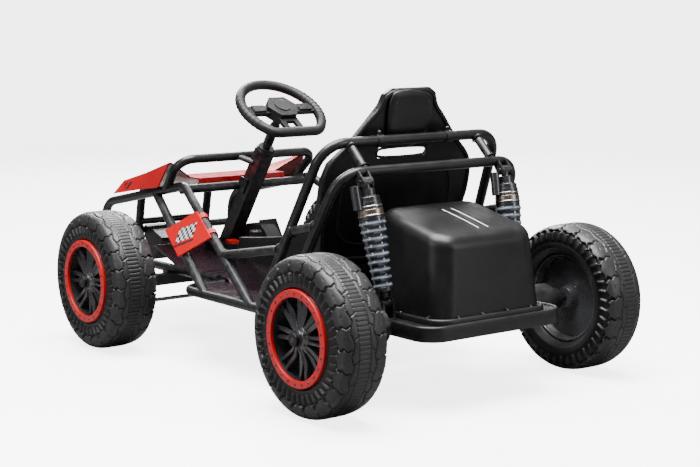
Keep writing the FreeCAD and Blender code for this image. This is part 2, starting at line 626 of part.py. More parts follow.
# ---------------------------------------------------------------- floor, seat and panels
def floor_pan_shape():
    """Footwell with its front slope, a rib over the cross tube, wide side steps and the seat box."""
    top, t = PAN_TOP, PAN_T
    rib = FLOOR_Z + TUBE_R + 0.5
    path = [(-90, top), (-103, rib + t), (-137, rib + t), (-143, top), (-296, top), (-434, 217), (-448, 217),
            (-448, 212), (-435, 212), (-297, top - t), (-143, top - t), (-137, rib), (-103, rib), (-90, top - t)]
    tongue = outline(path, "x", 2 * PAN_X, -PAN_X)
    wide = tray(270, FLOOR_FRONT_Y + TUBE_R + 2, 270, 31, top - t, top)
    half, front, rear, high = SEAT_BOX
    seat_box = box(-half, half, front, rear, top - 1, high)
    inside = box(-half + t, half - t, front + t, rear - t, top - t - 1, high - t)
    pan = tongue.fuse(wide).fuse(seat_box).cut(inside)
    for k in range(4):
        y = -262 + 28 * k
        ridge = box(66, 150, y, y + 7, top - 1, top + 3)
        pan = pan.fuse(ridge).fuse(mirrored(ridge))
    for x in (-152, -92):
        ear = outline([(-336, 178), (-304, 166), (-306, PEDAL_Z + 8), (-324, PEDAL_Z + 8)], "x", 4, x)
        pan = pan.fuse(ear)
    pan = pan.cut(rod((-160, PEDAL_Y, PEDAL_Z), (-80, PEDAL_Y, PEDAL_Z), 3 + RUN))
    pan = pan.cut(column_block(COLUMN_GAP, 150, 300))
    return longest(pan.cut(floor_loop).cut(post_left).cut(mirrored(post_left)).Solids).removeSplitter()


pan_shape = floor_pan_shape()


def nose_panel():
    """Black panel that closes the front under the bumper bar."""
    points = [(-652, 212), (-648, 240), (-600, 228), (-560, 214), (-556, 206), (-604, 152), (-612, 150), (-640, 190)]
    bumper = rod((-196, BUMPER_Y, BUMPER_Z), (196, BUMPER_Y, BUMPER_Z), 10.1)
    save("nose_panel", longest(outline(points, "x", 168, -84).cut(bumper).Solids))


def seat():
    tilt = math.tan(SEAT_BACK_TILT)

    def back_y(z):
        return 307.0 + (z - 386) * tilt
    half = [(0, 640), (52, 640), (72, 628), (80, 605), (105, 575), (128, 548), (156, 518), (196, 484), (208, 450),
            (208, 400), (200, 372), (196, 330), (190, 250), (0, 250)]
    ring = half + [(-x, z) for x, z in reversed(half[1:-1])]
    thick = V(0, -14, 0)
    face = Part.Face(Part.makePolygon([V(x, back_y(z), z) for x, z in ring + ring[:1]]))
    back = face.extrude(thick)
    window = [(-66, 512), (66, 512), (74, 500), (66, 488), (-66, 488), (-74, 500)]
    hole = Part.Face(Part.makePolygon([V(x, back_y(z) + 5, z) for x, z in window + window[:1]])).extrude(V(0, -60, 0))
    back = back.cut(hole)
    base = box(-190, 190, -40, 282, 236.3, 250)
    wing = outline([(-40, 250), (-30, 286), (60, 296), (180, 312), (262, 372), (288, 400), (298, 384), (282, 250)],
                   "x", 14, 176)
    shell = back.fuse(base).fuse(wing).fuse(mirrored(wing)).removeSplitter()
    save("seat_shell", shell)
    cushion = outline([(-34, 250.3), (-38, 268), (-20, 280), (60, 276), (200, 268), (256, 268), (262, 250.3)],
                      "x", 340, -170)
    save("seat_cushion", cushion)
    lean = [(-140, 272), (140, 272), (150, 400), (140, 452), (100, 478), (-100, 478), (-140, 452), (-150, 400)]
    pad = Part.Face(Part.makePolygon([V(x, back_y(z) - 14.3, z) for x, z in lean + lean[:1]])).extrude(V(0, -22, 0))
    save("seat_back_pad", pad)
    top = [(-54, 524), (54, 524), (64, 560), (60, 612), (44, 626), (-44, 626), (-60, 612), (-64, 560)]
    rest = Part.Face(Part.makePolygon([V(x, back_y(z) - 14.3, z) for x, z in top + top[:1]])).extrude(V(0, -20, 0))
    save("headrest_pad", rest)


def seat_clamps():
    """Two clamps that hold the seat back to the front hoop, with their bolts."""
    y, z = HOOP_A_TOP[1], HOOP_A_TOP[2]
    sleeve = rod((86, y, z), (104, y, z), 13).cut(rod((60, y, z), (130, y, z), TUBE_R))
    tongue = box(87, 103, y - 32, y - 11, z + 4, z + 10)
    shell_face = 307.0 + (z + 7 - 386) * math.tan(SEAT_BACK_TILT)
    tongue = tongue.common(box(80, 110, shell_face + 2, y, z - 20, z + 20))
    screw = rod((95, y, z + 12.9), (95, y, z + 19), 4)
    return pair(group(sleeve.fuse(tongue).removeSplitter(), screw))


def hood_section(y, lean, points):
    """One closed section of the hood's sheet; points are (x, z) from the left skirt's foot to the valley."""
    t = 3.5
    (foot_x, foot_z), (ridge_x, ridge_z), (valley_x, valley_z) = points
    right = [(foot_x, foot_z), (ridge_x, ridge_z), (ridge_x - 8, ridge_z), (valley_x, valley_z)]
    under = [(valley_x + 2, valley_z - t), (ridge_x - 7, ridge_z - t), (ridge_x - 3, ridge_z - t),
             (foot_x - t, foot_z)]
    ring = right + [(-x, z) for x, z in reversed(right)] + [(-x, z) for x, z in reversed(under)]
    ring = ring + under
    return Part.makePolygon([V(x, y + lean * (z - foot_z), z) for x, z in ring + ring[:1]])


def hood_shell():
    """Two outer skirts over the rails that rise rearwards as fins, with a flat valley between them."""
    sections = [hood_section(-612, 0.0, ((197, 334), (186, 345), (150, 343))),
                hood_section(-570, 0.0, ((199, 341), (187, 372), (140, 371))),
                hood_section(-450, 0.2, ((205, 361), (195, 403), (130, 391))),
                hood_section(-358, 0.66, ((212.5, 374), (204, 438), (126, 396)))]
    body = Part.makeLoft(sections, True, True)
    valley = box(-127, 127, -352, -300, 392.5, 396)
    lip = box(-127, 127, -303.5, -300, 378, 396)
    body = body.fuse(valley).fuse(lip)
    body = body.cut(rail_left).cut(mirrored(rail_left))
    save("hood_shell", longest(body.Solids).removeSplitter())


def on_line(a, b, z):
    """The point of the line a-b at height z."""
    k = (a[2] - z) / (a[2] - b[2])
    return vec(a) + (vec(b) - vec(a)) * k


def side_panel():
    """Panel outside the left posts, with two clamp tabs round the rear one and one round the front one."""
    top_r, low_r = on_line(RAIL_REAR, RAIL_FOOT, 329), on_line(RAIL_REAR, RAIL_FOOT, 279)
    top_f, low_f = on_line(POST_TOP, POST_FOOT, 281), on_line(POST_TOP, POST_FOOT, 231)
    back = (top_r - top_f).normalize()
    out = (low_f - top_r).cross(low_r - top_f).normalize()
    out = out if out.x > 0 else out * -1
    middle = (top_r + low_r + low_f + top_f) * 0.25 + out * (TUBE_R + 0.3)
    corners = [top_r + back * 6, low_r + back * 6, low_f - back * 15, top_f - back * 15]
    flat = [c - out * (c - middle).dot(out) for c in corners]
    panel = Part.Face(Part.makePolygon(flat + flat[:1])).extrude(out * 4.5)
    for top, foot, z in ((RAIL_REAR, RAIL_FOOT, 318), (RAIL_REAR, RAIL_FOOT, 289), (POST_TOP, POST_FOOT, 256)):
        along = unit(top, foot)
        centre = on_line(top, foot, z)
        panel = panel.fuse(Part.makeCylinder(TUBE_R + 3, 16, centre - along * 8, along))
    panel = panel.cut(tube_line(RAIL_REAR, RAIL_FOOT)).cut(tube_line(POST_TOP, POST_FOOT))
    save("side_panel", longest(panel.Solids).removeSplitter())


def tube_line(a, b):
    return rod(a, b, TUBE_R + 0.05)


def console():
    """Centre console at the column's foot with a raised hump, and its controls."""
    profile = [(-410, 216), (-404, 226), (-372, 230), (-300, 224), (-160, 238), (-130, 222), (-112, 160),
               (-290, 160), (-404, 190)]
    body = outline(profile, "x", 100, -55)
    hump = outline([(-326, 226), (-316, 262), (-298, 273), (-240, 275), (-222, 262), (-198, 230)], "x", 40, -52)
    body = body.fuse(hump).cut(column_block(COLUMN_GAP, 150, 300)).cut(pan_shape)
    body = body.cut(box(2, 34, -332, -296, 216, 240))
    body = body.cut(rod((KNOB_X, KNOB_Y, 216), (KNOB_X, KNOB_Y, 244), 6 + RUN))
    body = body.cut(rod((ROCKER[0] - 19, ROCKER[1], ROCKER[2]), (ROCKER[0] + 19, ROCKER[1], ROCKER[2]),
                        ROCKER_PIN + RUN))
    body = longest(body.Solids).removeSplitter()
    dome = Part.makeSphere(11, V(-28, -342, 230)).cut(box(-60, 20, -372, -300, 200, 230)).cut(body)
    dome = dome.cut(column_block(COLUMN_GAP, 150, 300))
    save("console", group(body, longest(dome.Solids)))
    x, y, z = ROCKER
    rocker = outline([(y - 16, z - 1.5), (y - 16, z + 11.5), (y, z + 7.5), (y + 16, z + 11.5), (y + 16, z - 1.5)],
                     "x", 30, x - 15)
    pin = rod((x - 18, y, z), (x + 18, y, z), ROCKER_PIN)
    save("power_switch", rocker.fuse(pin).removeSplitter())
    knob = rod((KNOB_X, KNOB_Y, 238.5), (KNOB_X, KNOB_Y, 262), 15)
    save("drive_knob", knob.fuse(rod((KNOB_X, KNOB_Y, 218), (KNOB_X, KNOB_Y, 240), 6)).removeSplitter())
    band = rod((KNOB_X, KNOB_Y, 262), (KNOB_X, KNOB_Y, 265), 14)
    save("knob_band", band.cut(rod((KNOB_X, KNOB_Y, 261), (KNOB_X, KNOB_Y, 266), 10)))


def pedal():
    """Throttle pedal on its cross pin, on the right of the column."""
    plate = outline([(PEDAL_Y - 3, PEDAL_Z - 2), (PEDAL_Y + 3, PEDAL_Z + 2), (PEDAL_Y - 48, 268), (PEDAL_Y - 54, 266)],
                    "x", 52, -146)
    barrel = rod((-147.5, PEDAL_Y, PEDAL_Z), (-92.5, PEDAL_Y, PEDAL_Z), 6)
    pin = rod((-155, PEDAL_Y, PEDAL_Z), (-85, PEDAL_Y, PEDAL_Z), 3)
    save("throttle_pedal", plate.fuse(barrel).fuse(pin).removeSplitter())


def main():
    save("frame_floor", floor_loop)
    frame_hoops()
    frame_rails()
    frame_hood()
    frame_nose()
    front_beam()
    left = group(knuckle(), wheel_nut())
    save("knuckle_left", left)
    save("knuckle_right", mirrored(left))
    save("tie_rod", tie_rod())
    column_parts()
    steering_shaft()
    steering_wheel()
    wheels()
    motor_cover()
    battery()
    rear_end()
    shocks()
    save("floor_pan", pan_shape)
    nose_panel()
    seat()
    save("seat_clamps", seat_clamps())
    hood_shell()
    side_panel()
    console()
    pedal()


main()
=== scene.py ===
import bpy
import bmesh
import json
import math
import numpy as np
from mathutils import Matrix, Vector


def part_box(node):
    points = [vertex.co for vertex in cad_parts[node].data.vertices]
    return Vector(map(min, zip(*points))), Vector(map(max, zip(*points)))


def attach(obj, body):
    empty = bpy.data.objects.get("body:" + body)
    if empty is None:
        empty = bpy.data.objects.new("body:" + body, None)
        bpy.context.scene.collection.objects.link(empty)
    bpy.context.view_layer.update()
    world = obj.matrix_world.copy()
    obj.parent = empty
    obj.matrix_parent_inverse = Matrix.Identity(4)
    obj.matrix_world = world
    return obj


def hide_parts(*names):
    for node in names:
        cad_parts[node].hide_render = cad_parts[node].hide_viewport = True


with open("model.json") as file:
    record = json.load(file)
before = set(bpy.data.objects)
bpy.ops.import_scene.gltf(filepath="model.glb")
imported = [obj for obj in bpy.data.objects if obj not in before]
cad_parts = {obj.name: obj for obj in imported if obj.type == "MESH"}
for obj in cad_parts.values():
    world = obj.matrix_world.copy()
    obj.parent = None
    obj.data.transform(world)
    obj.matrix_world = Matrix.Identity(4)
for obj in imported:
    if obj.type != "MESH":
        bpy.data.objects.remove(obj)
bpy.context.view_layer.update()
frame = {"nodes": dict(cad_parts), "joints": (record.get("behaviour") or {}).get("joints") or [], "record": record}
MM = 0.001
X_AXIS = Vector((1, 0, 0))
Z_AXIS = Vector((0, 0, 1))


# ---------------------------------------------------------------- materials
class Paint:
    """A procedural material: short calls that add nodes, measured in the frame's metres."""

    def __init__(self, name, base, roughness, metallic=0.0, coat=0.0, specular=0.5):
        self.material = bpy.data.materials.new(name)
        self.material.use_nodes = True
        self.tree = self.material.node_tree
        self.shader = self.tree.nodes["Principled BSDF"]
        self.shader.inputs["Base Color"].default_value = (*base, 1)
        self.shader.inputs["Roughness"].default_value = roughness
        self.shader.inputs["Metallic"].default_value = metallic
        self.shader.inputs["Coat Weight"].default_value = coat
        self.shader.inputs["Coat Roughness"].default_value = 0.12
        self.shader.inputs["Specular IOR Level"].default_value = specular
        self.place = self.add("ShaderNodeTexCoord").outputs["Object"]

    def add(self, kind, **inputs):
        node = self.tree.nodes.new(kind)
        for key, value in inputs.items():
            socket = node.inputs[int(key[1:])] if key[0] == "i" and key[1:].isdigit() else node.inputs[key]
            if isinstance(value, bpy.types.NodeSocket):
                self.tree.links.new(value, socket)
            else:
                socket.default_value = value
        return node

    def math(self, operation, a, b=0.0, c=0.0):
        node = self.add("ShaderNodeMath", i0=a, i1=b, i2=c)
        node.operation = operation
        return node.outputs[0]

    def noise(self, scale, detail=3.0, stretch=None):
        place = self.place
        if stretch:
            place = self.add("ShaderNodeMapping", Vector=place, Scale=stretch).outputs[0]
        return self.add("ShaderNodeTexNoise", Vector=place, Scale=scale, Detail=detail).outputs["Fac"]

    def ramp(self, value, low, high, out_low=0.0, out_high=1.0):
        node = self.add("ShaderNodeMapRange", Value=value)
        for socket, number in zip(node.inputs[1:5], (low, high, out_low, out_high)):
            socket.default_value = number
        node.clamp = True
        return node.outputs[0]

    def mix(self, factor, a, b):
        node = self.tree.nodes.new("ShaderNodeMix")
        node.data_type = "RGBA"
        for socket, value in zip((node.inputs[0], node.inputs[6], node.inputs[7]), (factor, a, b)):
            if isinstance(value, bpy.types.NodeSocket):
                self.tree.links.new(value, socket)
            elif isinstance(value, tuple):
                socket.default_value = (*value, 1)
            else:
                socket.default_value = value
        return node.outputs[2]

    def colour(self, socket):
        self.tree.links.new(socket, self.shader.inputs["Base Color"])

    def rough(self, socket):
        self.tree.links.new(socket, self.shader.inputs["Roughness"])

    def bump(self, height, distance, strength=1.0, rounded=0.0):
        node = self.add("ShaderNodeBump", Height=height, Distance=distance, Strength=strength)
        if rounded:
            edge = self.add("ShaderNodeBevel", Radius=rounded)
            edge.samples = 4
            self.tree.links.new(edge.outputs[0], node.inputs["Normal"])
        self.tree.links.new(node.outputs[0], self.shader.inputs["Normal"])

    def xyz(self):
        return self.add("ShaderNodeSeparateXYZ", Vector=self.place).outputs

    def worn(self, base, edge, amount=0.5):
        """Base colour with faint broad variation, lighter along worn edges."""
        cloud = self.ramp(self.noise(9.0, 4.0), 0.35, 0.7)
        dark = tuple(c * 0.75 for c in base)
        body = self.mix(cloud, dark, base)
        point = self.add("ShaderNodeNewGeometry").outputs["Pointiness"]
        rub = self.math("MULTIPLY", self.ramp(point, 0.53, 0.6), self.ramp(self.noise(60.0), 0.4, 0.65))
        return self.mix(self.math("MULTIPLY", rub, amount), body, edge)


def powder_black():
    """Satin powder coat with a fine orange peel."""
    p = Paint("powder_black", (0.006, 0.006, 0.0065), 0.36, specular=0.38)
    p.colour(p.worn((0.0065, 0.0065, 0.007), (0.04, 0.04, 0.043), 0.6))
    p.rough(p.ramp(p.noise(28.0), 0.3, 0.7, 0.27, 0.40))
    p.bump(p.noise(900.0, 2.0), 0.00012, 0.5, rounded=0.0012)
    return p.material


def tyre_black():
    """Blow-moulded tyre plastic: satin black with painted shade, near-black in its grooves and greyer on its crowns,
    with fine moulding grain.
    """
    p = Paint("tyre_black", (0.015, 0.015, 0.015), 0.42, specular=0.38)
    groove = p.add("ShaderNodeAttribute")
    groove.attribute_name = "crown"
    crown = groove.outputs["Fac"]
    cloud = p.ramp(p.noise(14.0, 5.0), 0.3, 0.7)
    top = p.mix(cloud, (0.011, 0.011, 0.0112), (0.019, 0.019, 0.0193))
    # Painted shade: the crown layer turns the grooves near-black against the greyer crowns.
    p.colour(p.mix(crown, (0.0025, 0.0025, 0.0025), top))
    p.rough(p.ramp(p.noise(120.0, 4.0), 0.3, 0.7, 0.36, 0.5))
    fine = p.math("ADD", p.math("MULTIPLY", p.noise(700.0, 3.0), 0.5), p.math("MULTIPLY", p.noise(90.0, 3.0), 0.5))
    p.bump(fine, 0.0005, 0.6)
    return p.material


def gloss_plastic(name, base, deep, rough, coat):
    """Glossy moulding with a slight flow pattern and faint ripples in its reflections."""
    p = Paint(name, base, rough, coat=coat)
    p.colour(p.mix(p.ramp(p.noise(7.0, 4.0), 0.3, 0.75), deep, base))
    p.rough(p.ramp(p.noise(45.0, 4.0), 0.3, 0.7, rough * 0.75, rough * 1.35))
    p.bump(p.noise(35.0, 3.0), 0.0004, 0.35, rounded=0.0015)
    return p


def moulded_black(name="moulded_black", base=(0.006, 0.006, 0.0062), rough=0.4, grain=1100.0):
    """Textured black polypropylene."""
    p = Paint(name, base, rough, specular=0.32)
    p.colour(p.worn(base, tuple(c * 3.5 for c in base), 0.4))
    p.rough(p.ramp(p.noise(30.0, 4.0), 0.3, 0.7, rough * 0.85, rough * 1.2))
    cells = p.add("ShaderNodeTexVoronoi", Vector=p.place, Scale=grain).outputs["Distance"]
    p.bump(p.math("ADD", cells, p.math("MULTIPLY", p.noise(60.0), 0.6)), 0.00022, 0.55, rounded=0.0016)
    return p


def leather():
    """Soft grained seat covering."""
    p = Paint("seat_leather", (0.01, 0.01, 0.0105), 0.42)
    p.colour(p.worn((0.01, 0.01, 0.011), (0.035, 0.035, 0.037), 0.5))
    p.rough(p.ramp(p.noise(70.0, 4.0), 0.3, 0.7, 0.36, 0.52))
    cells = p.add("ShaderNodeTexVoronoi", Vector=p.place, Scale=420.0)
    cells.feature = "DISTANCE_TO_EDGE"
    crease = p.ramp(cells.outputs["Distance"], 0.0, 0.12)
    p.bump(p.math("ADD", crease, p.noise(240.0, 4.0)), 0.00035, 0.7)
    return p.material


def brushed(name, base, rough, stretch):
    """Metal with fine lines, drawn out along the axes where stretch is small."""
    p = Paint(name, base, rough, metallic=1.0)
    line = p.noise(160.0, 4.0, stretch)
    p.colour(p.mix(p.ramp(line, 0.35, 0.65), tuple(c * 0.72 for c in base), base))
    p.rough(p.ramp(line, 0.3, 0.7, rough * 0.75, rough * 1.4))
    p.bump(line, 0.0002, 0.4, rounded=0.0006)
    return p.material


def spring_cover_plastic():
    """Smoky blue-grey ribbed cover with a wet gloss: painted highlight makes its ribs pale, with paler painted
    highlight streaks, and dark between them.
    """
    p = Paint("spring_cover_plastic", (0.12, 0.14, 0.18), 0.14, coat=0.9)
    rib = p.add("ShaderNodeAttribute")
    rib.attribute_name = "crown"
    # Painted highlight: pale crests with lighter streaks on the ribs, dark in the valleys.
    highlight_streak = p.ramp(p.noise(55.0, 4.0, (1, 1, 0.3)), 0.35, 0.7)
    ridge_highlight = p.mix(highlight_streak, (0.09, 0.105, 0.13), (0.3, 0.33, 0.375))
    p.colour(p.mix(rib.outputs["Fac"], (0.01, 0.0125, 0.019), ridge_highlight))
    p.rough(p.ramp(p.noise(90.0), 0.3, 0.7, 0.1, 0.24))
    p.bump(p.noise(140.0, 3.0), 0.0005, 0.4)
    return p.material


def band(p, value, low, high, soft=0.0006):
    """1 between low and high of a coordinate, with an edge just soft enough to print."""
    rise = p.ramp(value, low, low + soft)
    fall = p.ramp(value, high - soft, high, 1.0, 0.0)
    return p.math("MULTIPLY", rise, fall)


def hood_red():
    """Red hood moulding with a long dark dash and two short ones on each outer skirt."""
    p = gloss_plastic("hood_red", (0.42, 0.0, 0.004), (0.33, 0.0, 0.003), 0.3, 0.15)
    x, y, z = p.xyz()
    slope = p.math("ADD", y, p.math("MULTIPLY", z, -0.9))
    bars = p.math("ADD", band(p, slope, -0.985, -0.895), band(p, slope, -0.885, -0.872))
    bars = p.math("ADD", bars, band(p, slope, -0.862, -0.849))
    height = p.math("ADD", z, p.math("MULTIPLY", y, -0.21))
    zone = p.math("MULTIPLY", band(p, height, 0.466, 0.483), band(p, y, -0.555, -0.415))
    zone = p.math("MULTIPLY", zone, band(p, p.math("ABSOLUTE", x), 0.186, 0.3))
    mark = p.math("MULTIPLY", zone, bars)
    red = p.shader.inputs["Base Color"].links[0].from_socket
    p.colour(p.mix(mark, red, (0.012, 0.01, 0.011)))
    return p.material


PANEL_SLOPE = (0.325 - 0.28) / 0.13     # how the side panel's bars rise towards the rear
CHECK_CELL = 0.0085


def panel_red():
    """Red side panel with a small chequered patch and a dark stripe."""
    p = gloss_plastic("panel_red", (0.48, 0.0, 0.003), (0.38, 0.0, 0.003), 0.3, 0.1)
    _, y, z = p.xyz()
    low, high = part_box("side_panel")
    row = p.math("ADD", z, p.math("MULTIPLY", y, -PANEL_SLOPE))
    middle_y = (low.y + high.y) / 2 - 0.004
    middle = (low.z + high.z) / 2 - PANEL_SLOPE * middle_y
    cy = p.math("FLOOR", p.math("DIVIDE", y, CHECK_CELL))
    cz = p.math("FLOOR", p.math("DIVIDE", row, CHECK_CELL))
    check = p.math("MODULO", p.math("ABSOLUTE", p.math("ADD", cy, cz)), 2.0)
    patch = p.math("MULTIPLY", band(p, y, middle_y - 0.036, middle_y + 0.032),
                   band(p, row, middle - 0.014, middle + 0.02))
    ink = p.mix(check, (0.02, 0.02, 0.02), (0.55, 0.55, 0.56))
    under = p.math("MULTIPLY", band(p, y, middle_y - 0.042, middle_y + 0.038),
                   band(p, row, middle - 0.024, middle - 0.018))
    red = p.shader.inputs["Base Color"].links[0].from_socket
    p.colour(p.mix(under, p.mix(patch, red, ink), (0.02, 0.02, 0.02)))
    return p.material


def cover_black():
    """Motor cover plastic with a plain white double line and a dark seam on its top."""
    p = moulded_black("cover_black", (0.006, 0.006, 0.0062), 0.36, 900.0)
    x, y, z = p.xyz()
    top = p.ramp(z, 0.325, 0.327)
    lines = p.math("ADD", band(p, x, -0.0265, -0.0235), band(p, x, -0.0005, 0.0025))
    lines = p.math("MULTIPLY", lines, band(p, y, 0.468, 0.585))
    seam = p.math("MULTIPLY", band(p, x, -0.0835, -0.081), band(p, y, 0.47, 0.6))
    black = p.shader.inputs["Base Color"].links[0].from_socket
    marked = p.mix(p.math("MULTIPLY", lines, top), black, (0.75, 0.75, 0.76))
    p.colour(p.mix(p.math("MULTIPLY", seam, top), marked, (0.001, 0.001, 0.001)))
    return p.material


POWDER = powder_black()
TYRE = tyre_black()
RING = gloss_plastic("ring_red", (0.5, 0.0, 0.002), (0.42, 0.0, 0.002), 0.34, 0.05).material
RIM = gloss_plastic("rim_grey", (0.05, 0.051, 0.054), (0.03, 0.03, 0.033), 0.28, 0.4).material
HOOD = hood_red()
PANEL = panel_red()
SWITCH = gloss_plastic("switch_red", (0.7, 0.015, 0.012), (0.55, 0.01, 0.01), 0.25, 0.4).material
MOULDED = moulded_black().material
COVER = cover_black()
PAN = gloss_plastic("pan_plum", (0.03, 0.018, 0.024), (0.018, 0.011, 0.015), 0.24, 0.2).material
SEAT = moulded_black("seat_black", (0.005, 0.005, 0.0052), 0.34, 1000.0).material
LEATHER = leather()
GRIP = moulded_black("rim_grip", (0.007, 0.007, 0.0072), 0.46, 700.0).material
HORN = moulded_black("horn_grey", (0.012, 0.012, 0.013), 0.4, 900.0).material
STEEL = brushed("bright_steel", (0.55, 0.55, 0.57), 0.26, (8, 1, 1))
BRONZE = brushed("bronze_collar", (0.34, 0.255, 0.2), 0.3, (1, 1, 9))
GUNMETAL = brushed("shock_gunmetal", (0.1, 0.1, 0.105), 0.34, (1, 1, 6))
MOTOR = brushed("motor_steel", (0.4, 0.4, 0.41), 0.36, (9, 1, 1))
COVER_PLASTIC = spring_cover_plastic()
BATTERY = moulded_black("battery_case", (0.03, 0.03, 0.034), 0.45, 800.0).material

NODE_PAINT = {
    "hood_shell": HOOD, "side_panel": PANEL, "power_switch": SWITCH, "motor_cover": COVER, "floor_pan": PAN,
    "seat_shell": SEAT, "seat_cushion": LEATHER, "seat_back_pad": LEATHER, "headrest_pad": LEATHER,
    "steering_rim": GRIP, "horn_button": HORN, "knob_band": STEEL, "rear_axle": GUNMETAL, "rear_bolts": GUNMETAL,
    "tie_rod": STEEL, "shock_left_rod": GUNMETAL, "shock_right_rod": GUNMETAL, "shock_left_body": GUNMETAL,
    "shock_right_body": GUNMETAL, "drive_motors": MOTOR, "battery": BATTERY,
}
SLOT_PAINT = {"frame_black": POWDER, "tyre_black": TYRE, "rim_grey": RIM, "ring_red": RING,
              "moulded_black": MOULDED, "shaft_steel": POWDER, "shock_cover": COVER_PLASTIC}


def paint_cad_nodes():
    """Every CAD node gets its material."""
    slots = {s["node"]: s["material_slot"] for s in frame["record"]["subparts"]}
    for name, obj in frame["nodes"].items():
        material = NODE_PAINT.get(name) or SLOT_PAINT[slots[name]]
        obj.data.materials.clear()
        obj.data.materials.append(material)


# ---------------------------------------------------------------- building pieces
def add_object(name, data):
    obj = bpy.data.objects.new(name, data)
    bpy.context.scene.collection.objects.link(obj)
    return obj


def new_piece(name, data, material, body, place=None):
    """An object that rides on a body, put where the matrix place says."""
    obj = add_object(name, data)
    if material and not data.materials:
        data.materials.append(material)
    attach(obj, body)
    if place:
        obj.matrix_world = place
    return obj


def bevelled(obj, width, segments=2, angle=32):
    """Rounds the edges sharper than angle, in degrees."""
    mod = obj.modifiers.new("edges", "BEVEL")
    mod.width = width
    mod.segments = segments
    mod.limit_method = "ANGLE"
    mod.angle_limit = math.radians(angle)


def mesh_from(name, verts, faces, smooth=True):
    mesh = bpy.data.meshes.new(name)
    mesh.from_pydata([tuple(v) for v in verts], [], faces)
    mesh.validate()
    for poly in mesh.polygons:
        poly.use_smooth = smooth
    return mesh


def closed_grid(rows, cols, close_rows=True, close_cols=True):
    """Quads over a grid of rows x cols points, wrapping round where asked."""
    faces = []
    for i in range(rows if close_rows else rows - 1):
        for j in range(cols if close_cols else cols - 1):
            a, b = i * cols + j, i * cols + (j + 1) % cols
            c, d = ((i + 1) % rows) * cols + (j + 1) % cols, ((i + 1) % rows) * cols + j
            faces.append((a, b, c, d))
    return faces


def capped_skin(rings, n):
    """Faces of a closed skin through rings of n points each, with a cap at both ends."""
    ends = [tuple(range(n))[::-1], tuple(range((rings - 1) * n, rings * n))]
    return closed_grid(rings, n, False, True) + ends


def smooth_steps(x, low, high):
    t = np.clip((x - low) / (high - low), 0, 1)
    return t * t * (3 - 2 * t)


# ---------------------------------------------------------------- tyres
TYRE_R = 0.165
RING_FACE = 0.0495          # from the wheel's middle to its ring's outer face
LUGS = 22
STRIP = 13.0                # half width of the ribbed centre strip, mm
OUTER_SIDE = [(0, 165), (13, 165), (25, 163.4), (36, 158.6), (43, 149), (46.6, 133), (47, 117), (45.3, 103.5),
              (42, 99.7)]
INNER_SIDE = [(0, 165), (13, 165), (34, 164.3), (53, 160.2), (63.5, 151), (66.5, 134), (63, 112), (50, 99.7)]


def rounded_profile(points, step):
    """Points evenly spaced along a smooth curve through the given (across, radius) points."""
    pts = np.array(points, float)
    dense = []
    for i in range(1, len(pts) - 2):
        p0, p1, p2, p3 = pts[i - 1], pts[i], pts[i + 1], pts[i + 2]
        for t in np.linspace(0, 1, 24, endpoint=False):
            dense.append(0.5 * (2 * p1 + (p2 - p0) * t + (2 * p0 - 5 * p1 + 4 * p2 - p3) * t ** 2
                                + (3 * p1 - p0 - 3 * p2 + p3) * t ** 3))
    dense = np.array([pts[0]] + dense + [pts[-2], pts[-1]])
    along = np.concatenate([[0], np.cumsum(np.linalg.norm(np.diff(dense, axis=0), axis=1))])
    marks = np.linspace(0, along[-1], int(along[-1] / step))
    return marks, np.stack([np.interp(marks, along, dense[:, k]) for k in (0, 1)], axis=1)


def cut(value, width, soft=0.55):
    """1 on the tread, 0 in a groove where |value| is under half the width (all in mm)."""
    return smooth_steps(np.abs(value), width / 2 - soft, width / 2 + soft)


def zigzag(t):
    """A triangle wave between -1 and 1 with period 1."""
    return 4 * np.abs((t - 0.25) % 1 - 0.5) - 1


